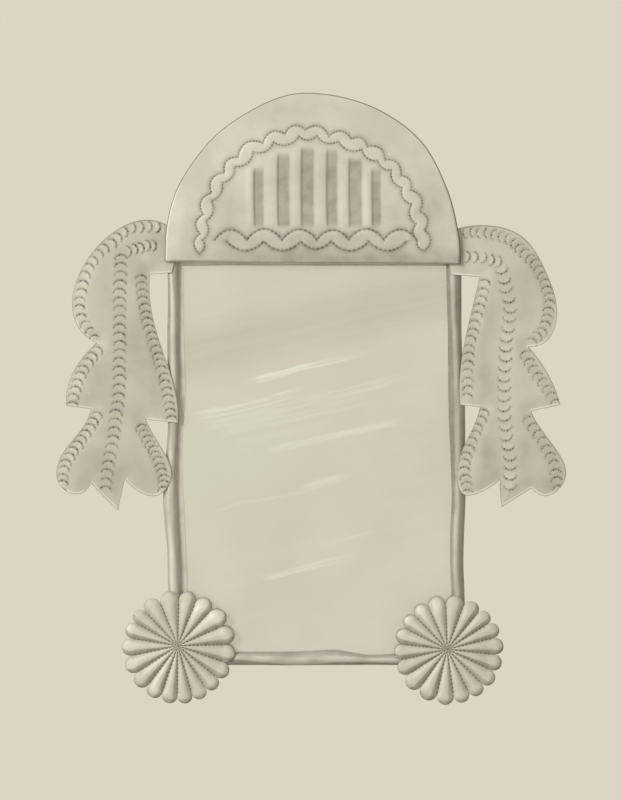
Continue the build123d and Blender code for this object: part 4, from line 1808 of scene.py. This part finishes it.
@dataclass
class Ring:
    """Wire ring bent to a D, its straight run in the clip's eye."""

    eye: Point = (-9.82 * MM, 186.0 * MM)
    half_width: float = 7.4 * MM
    drop: float = 16.0 * MM
    corner: float = 2.4 * MM
    foot_bend: float = 7.0 * MM
    wire: float = 0.8 * MM
    handle: float = 0.5523
    straight_handle: float = 0.4

    def build(self) -> None:
        """Models and dresses the ring."""
        depth, top = self.eye
        w, foot = self.half_width, top - self.drop
        bends = [
            ((-w, top), self.corner, (1, 0), (0, -1)),
            ((-w, foot), self.foot_bend, (0, 1), (1, 0)),
            ((w, foot), self.foot_bend, (-1, 0), (0, 1)),
            ((w, top), self.corner, (0, -1), (-1, 0)),
        ]
        curve = bpy.data.curves.new("ring_line", "CURVE")
        curve.dimensions = "3D"
        curve.bevel_depth = self.wire
        curve.bevel_resolution = 5
        curve.resolution_u = 14
        spline = curve.splines.new("BEZIER")
        spline.bezier_points.add(2 * len(bends) - 1)
        spline.use_cyclic_u = True
        knots = iter(spline.bezier_points)
        for (x, z), radius, before, after in bends:
            for way, rounds_left in ((before, False), (after, True)):
                spot = (x + way[0] * radius, z + way[1] * radius)
                inward = [spot[i] - way[i] * radius * self.handle for i in range(2)]
                outward = [spot[i] + way[i] * radius * self.straight_handle for i in range(2)]
                knot = next(knots)
                knot.handle_left_type = knot.handle_right_type = "FREE"
                knot.co = (spot[0], depth, spot[1])
                ends = (inward, outward) if rounds_left else (outward, inward)
                knot.handle_left = (ends[0][0], depth, ends[0][1])
                knot.handle_right = (ends[1][0], depth, ends[1][1])
        only(link("ring_wire", curve))
        bpy.ops.object.convert(target="MESH")
        piece = bpy.context.active_object
        smooth(piece, 60)
        dress(piece, WIRE, ["hanging_ring"], "ring")


@dataclass
class Solder:
    """Lumpy runs of solder in the place of each plain run of a CAD node."""

    node: str
    swell: float = 0.08
    roundness: float = 0.72
    seed: int = 40

    def places(self) -> list[tuple[Vector, Vector]]:
        """Boxes of the node's separate runs.

        Returns:
            Lowest and highest corner of each run.
        """
        node_copy(self.node)
        bpy.ops.mesh.separate(type="LOOSE")
        found = []
        for run in list(bpy.context.selected_objects):
            points = points_of(run)
            found.append((Vector(points.min(0)), Vector(points.max(0))))
            bpy.data.objects.remove(run)
        return sorted(found, key=lambda ends: tuple(ends[0]))

    def build(self) -> None:
        """Models and dresses the runs."""
        draw = random.Random(self.seed)
        blobs = []
        for low, high in self.places():
            bpy.ops.object.select_all(action="DESELECT")
            bpy.ops.mesh.primitive_ico_sphere_add(subdivisions=4, radius=0.5)
            blob = bpy.context.active_object
            points = points_of(blob) * 2
            squared = np.sign(points) * abs(points) ** self.roundness
            squared *= 1 / np.maximum(1.0, abs(squared).max(axis=1, keepdims=True))
            lumps = Undulation(self.swell, 0.9, draw.randrange(1000))
            dents = lumps.at(points[:, 0] + points[:, 1], points[:, 2])
            size, middle = (high - low) / 2, (low + high) / 2
            swollen = 1 - self.swell + np.clip(dents, -self.swell, self.swell)
            set_points(blob, squared * np.array(size) * swollen[:, None] + np.array(middle))
            blobs.append(blob)
        only(blobs[0])
        for blob in blobs:
            blob.select_set(True)
        bpy.ops.object.join()
        piece = bpy.context.active_object
        piece.name = self.node.replace("_solder", "_solder_runs")
        smooth(piece, 80)
        dress(piece, SOLDER, [self.node])


# --- Camera, floor and light ----------------------------------------------------------


@dataclass(frozen=True)
class Studio:
    """Level camera with a long lens, a pale floor well below, one soft key light and a plain surround."""

    lens: float = 200.0
    sensor: float = 36.0
    view_height: float = 457.14 * MM
    aim: Point = (-2.57 * MM, 33.71 * MM)
    paper: Colour = srgb(219, 213, 195)
    paper_level: float = 1.0
    floor_z: float = -0.34
    floor_radius: float = 1.1
    floor_fade: tuple[float, float] = (0.55, 0.97)
    key_place: Spot = (-1.6, -1.7, 0.7)
    key_size: float = 0.75
    key_watts: float = 34.0
    key_tone: Spot = (1.0, 0.995, 0.985)
    key_aim: Spot = (0, 0, 0.05)
    surround: float = 0.52
    surround_tone: Colour = (1.0, 1.0, 0.99, 1.0)
    mirrored: float = 0.92
    mirrored_tone: Colour = srgb(220, 215, 200)

    def camera(self) -> None:
        """Creates the camera."""
        distance = self.lens / self.sensor * self.view_height
        bpy.ops.object.camera_add(
            location=(self.aim[0], -PENDANT_FRONT - distance, self.aim[1]), rotation=(math.pi / 2, 0, 0)
        )
        camera = bpy.context.active_object
        camera.data.lens = self.lens
        camera.data.sensor_width = self.sensor
        camera.data.clip_end = 20
        bpy.context.scene.camera = camera

    def light(self) -> None:
        """Creates the key light and the surround."""
        heading = Vector(self.key_aim) - Vector(self.key_place)
        bpy.ops.object.light_add(type="AREA", location=self.key_place)
        key = bpy.context.active_object
        key.rotation_euler = heading.to_track_quat("-Z", "Y").to_euler()
        key.data.energy = self.key_watts
        key.data.size = self.key_size
        key.data.color = self.key_tone
        world = bpy.data.worlds.new("surround")
        world.use_nodes = True
        bpy.context.scene.world = world
        graph = Graph(world.node_tree)
        seen, glossy, through = (
            graph.out("LightPath", output=f"Is {kind} Ray") for kind in ("Camera", "Glossy", "Transmission")
        )
        light, shine, paper = (
            graph.out("Background", None, {"Color": colour, "Strength": strength})
            for colour, strength in (
                (self.surround_tone, self.surround),
                (self.mirrored_tone, self.mirrored),
                (self.paper, self.paper_level),
            )
        )
        lit = graph.out("MixShader", None, {0: graph.maths("MAXIMUM", glossy, through), 1: light, 2: shine})
        shown = graph.out("MixShader", None, {0: seen, 1: lit, 2: paper})
        graph.node("OutputWorld", None, {"Surface": shown})

    def floor(self) -> None:
        """Creates the floor, which fades out at its edge."""
        bpy.ops.object.select_all(action="DESELECT")
        bpy.ops.mesh.primitive_circle_add(
            vertices=96, radius=self.floor_radius, fill_type="NGON", location=(0, 0, self.floor_z)
        )
        floor = bpy.context.active_object
        floor.name = "floor"
        bpy.ops.object.transform_apply(location=True, rotation=True, scale=True)
        material, graph = new_graph("pale_floor")
        where = graph.out("TexCoord", output="Object")
        flat = graph.out("VectorMath", {"operation": "MULTIPLY"}, {0: where, 1: (1, 1, 0)})
        away = graph.out("VectorMath", {"operation": "LENGTH"}, {0: flat}, "Value")
        gone = graph.span(away, *(self.floor_radius * share for share in self.floor_fade))
        clear = graph.out("BsdfTransparent")
        paint = graph.out("BsdfDiffuse", None, {"Color": self.paper})
        both = graph.out("MixShader", None, {0: gone, 1: paint, 2: clear})
        graph.node("OutputMaterial", None, {"Surface": both})
        floor.data.materials.append(material)


# --- The whole mirror -----------------------------------------------------------------

BEADS = (
    Bead(
        "left",
        (
            (-117.6, -84.2, -76.9), (-92, -84.1, -76.7), (-70, -84.5, -77.0), (-52, -84.9, -77.6),
            (-40, -86.0, -78.2), (-25, -87.2, -78.9), (-12, -86.8, -79.2), (2, -85.6, -79.0),
            (16, -84.6, -78.3), (30, -84.4, -77.8), (70, -84.8, -78.0), (92, -84.4, -78.2),
            (117.6, -84.9, -78.0),
        ),
        gleam=((-80, 0.42), (-43, 0.38), (-23, 0.48), (9, 0.46), (44, 0.5), (85, 0.48), (105, 0.4)),
        dusk=((-80, 0.68), (-43, 0.62), (-23, 0.7), (9, 0.72), (60, 0.68), (85, 0.66), (105, 0.48)),
        edge=((-80, 0.2), (0, 0.24), (40, 0.5), (105, 0.6)),
        seed=3,
        darker=0.2,
    ),
    Bead(
        "right",
        (
            (-117.6, 77.9, 85.8), (-80, 77.9, 85.4), (-60, 77.1, 84.7), (-42, 77.2, 85.1), (-22, 78.0, 85.9),
            (0, 77.4, 85.7), (20, 76.5, 85.7), (40, 76.0, 85.3), (62, 75.9, 83.9), (75, 75.8, 83.4),
            (90, 75.3, 82.9), (117.6, 74.7, 83.0),
        ),
        gleam=((-75, 0.42), (-22, 0.44), (0, 0.5), (22, 0.52), (41, 0.54), (60, 0.52), (117, 0.46)),
        dusk=((-75, 0.6), (-22, 0.56), (0, 0.62), (22, 0.64), (41, 0.64), (60, 0.62), (117, 0.58)),
        edge=((-80, 0.5), (-40, 0.55), (-20, 0.75), (60, 0.8), (105, 0.75)),
        finish=RIGHT_BEAD_TIN,
        seed=6,
        darker=0.5,
        shine=0.3,
    ),
    Bead(
        "bottom",
        (
            (-76.8, -117.7, -110.6), (-44, -117.7, -110.5), (-16, -118.2, -110.3), (0, -118.0, -109.8),
            (11, -117.9, -109.3), (22, -117.6, -111.0), (32, -117.3, -112.2), (46, -117.7, -111.6),
            (76.6, -117.9, -110.7),
        ),
        gleam=((-77, 0.42), (-44, 0.42), (-16, 0.52), (0, 0.56), (11, 0.52), (30, 0.5), (76, 0.45)),
        dusk=(
            (-77, 0.56), (-44, 0.58), (-25, 0.76), (-12, 0.95), (0, 0.86), (11, 0.72), (35, 0.72), (50, 0.8),
            (76, 0.58),
        ),
        upright=False,
        edge=((-77, 0.2), (-30, 0.3), (20, 0.35), (77, 0.25)),
        seed=9,
        darker=0.8,
    ),
)

CHANNELS = (
    Channel(
        "left",
        0.0,
        (
            (-118, 11.1), (-75, 11.1), (-63, 10.9), (-43, 9.8), (-12, 8.5), (9, 8.3), (26, 9.3), (44, 10.2),
            (60, 9.7), (85, 9.0), (118, 8.9),
        ),
        LEFT_LIP_LIGHTENED_TIN,
        seed=21,
    ),
    Channel("bottom", math.pi / 2, ((-85, 5.4), (0, 5.4), (85, 5.4)), seed=24),
    Channel("right", math.pi, ((-118, 6.2), (0, 6.3), (118, 6.2)), taper=0.9 * MM, seed=27),
    Channel("top", 3 * math.pi / 2, ((-85, 7.2), (0, 7.2), (85, 7.2)), TOP_LIP_LIGHTENED_TIN, line=0.75, seed=30),
)


def main() -> None:
    """Builds the mirror's looks, the camera and the light."""
    logging.basicConfig(level=logging.INFO, format="%(name)s: %(message)s")
    bpy.context.scene.view_settings.view_transform = "Standard"
    studio = Studio()
    studio.camera()
    studio.light()
    studio.floor()
    joints = enumerate(("backing", "pendant", "rosette", "lunette", "hanger"))
    parts = (
        Lunette(),
        Pendant("left_pendant", LEFT_TIN, LEFT_ROWS, LEFT_WASHES, 101, CrescentPunch(link=0.36)),
        Pendant("right_pendant", RIGHT_TIN, RIGHT_ROWS, RIGHT_WASHES, 202, CrescentPunch(stretch=1.2), 0.9),
        Rosette("left", (-78.6, -106.7), LEFT_PETALS, seed=5),
        Rosette("right", (75.3, -108.7), RIGHT_PETALS, seed=8),
        *BEADS,
        *CHANNELS,
        Ring(),
        *(Solder(f"{place}_solder", seed=40 + index) for index, place in joints),
    )
    for part in parts:
        part.build()
    paint_nodes(OLD_GLASS, "mirror_glass")
    paint_nodes(CARD, "packing_card")
    paint_nodes(BACK_TIN, "backing_sheet", "hanger_clip")


if __name__ == "__main__":
    main()
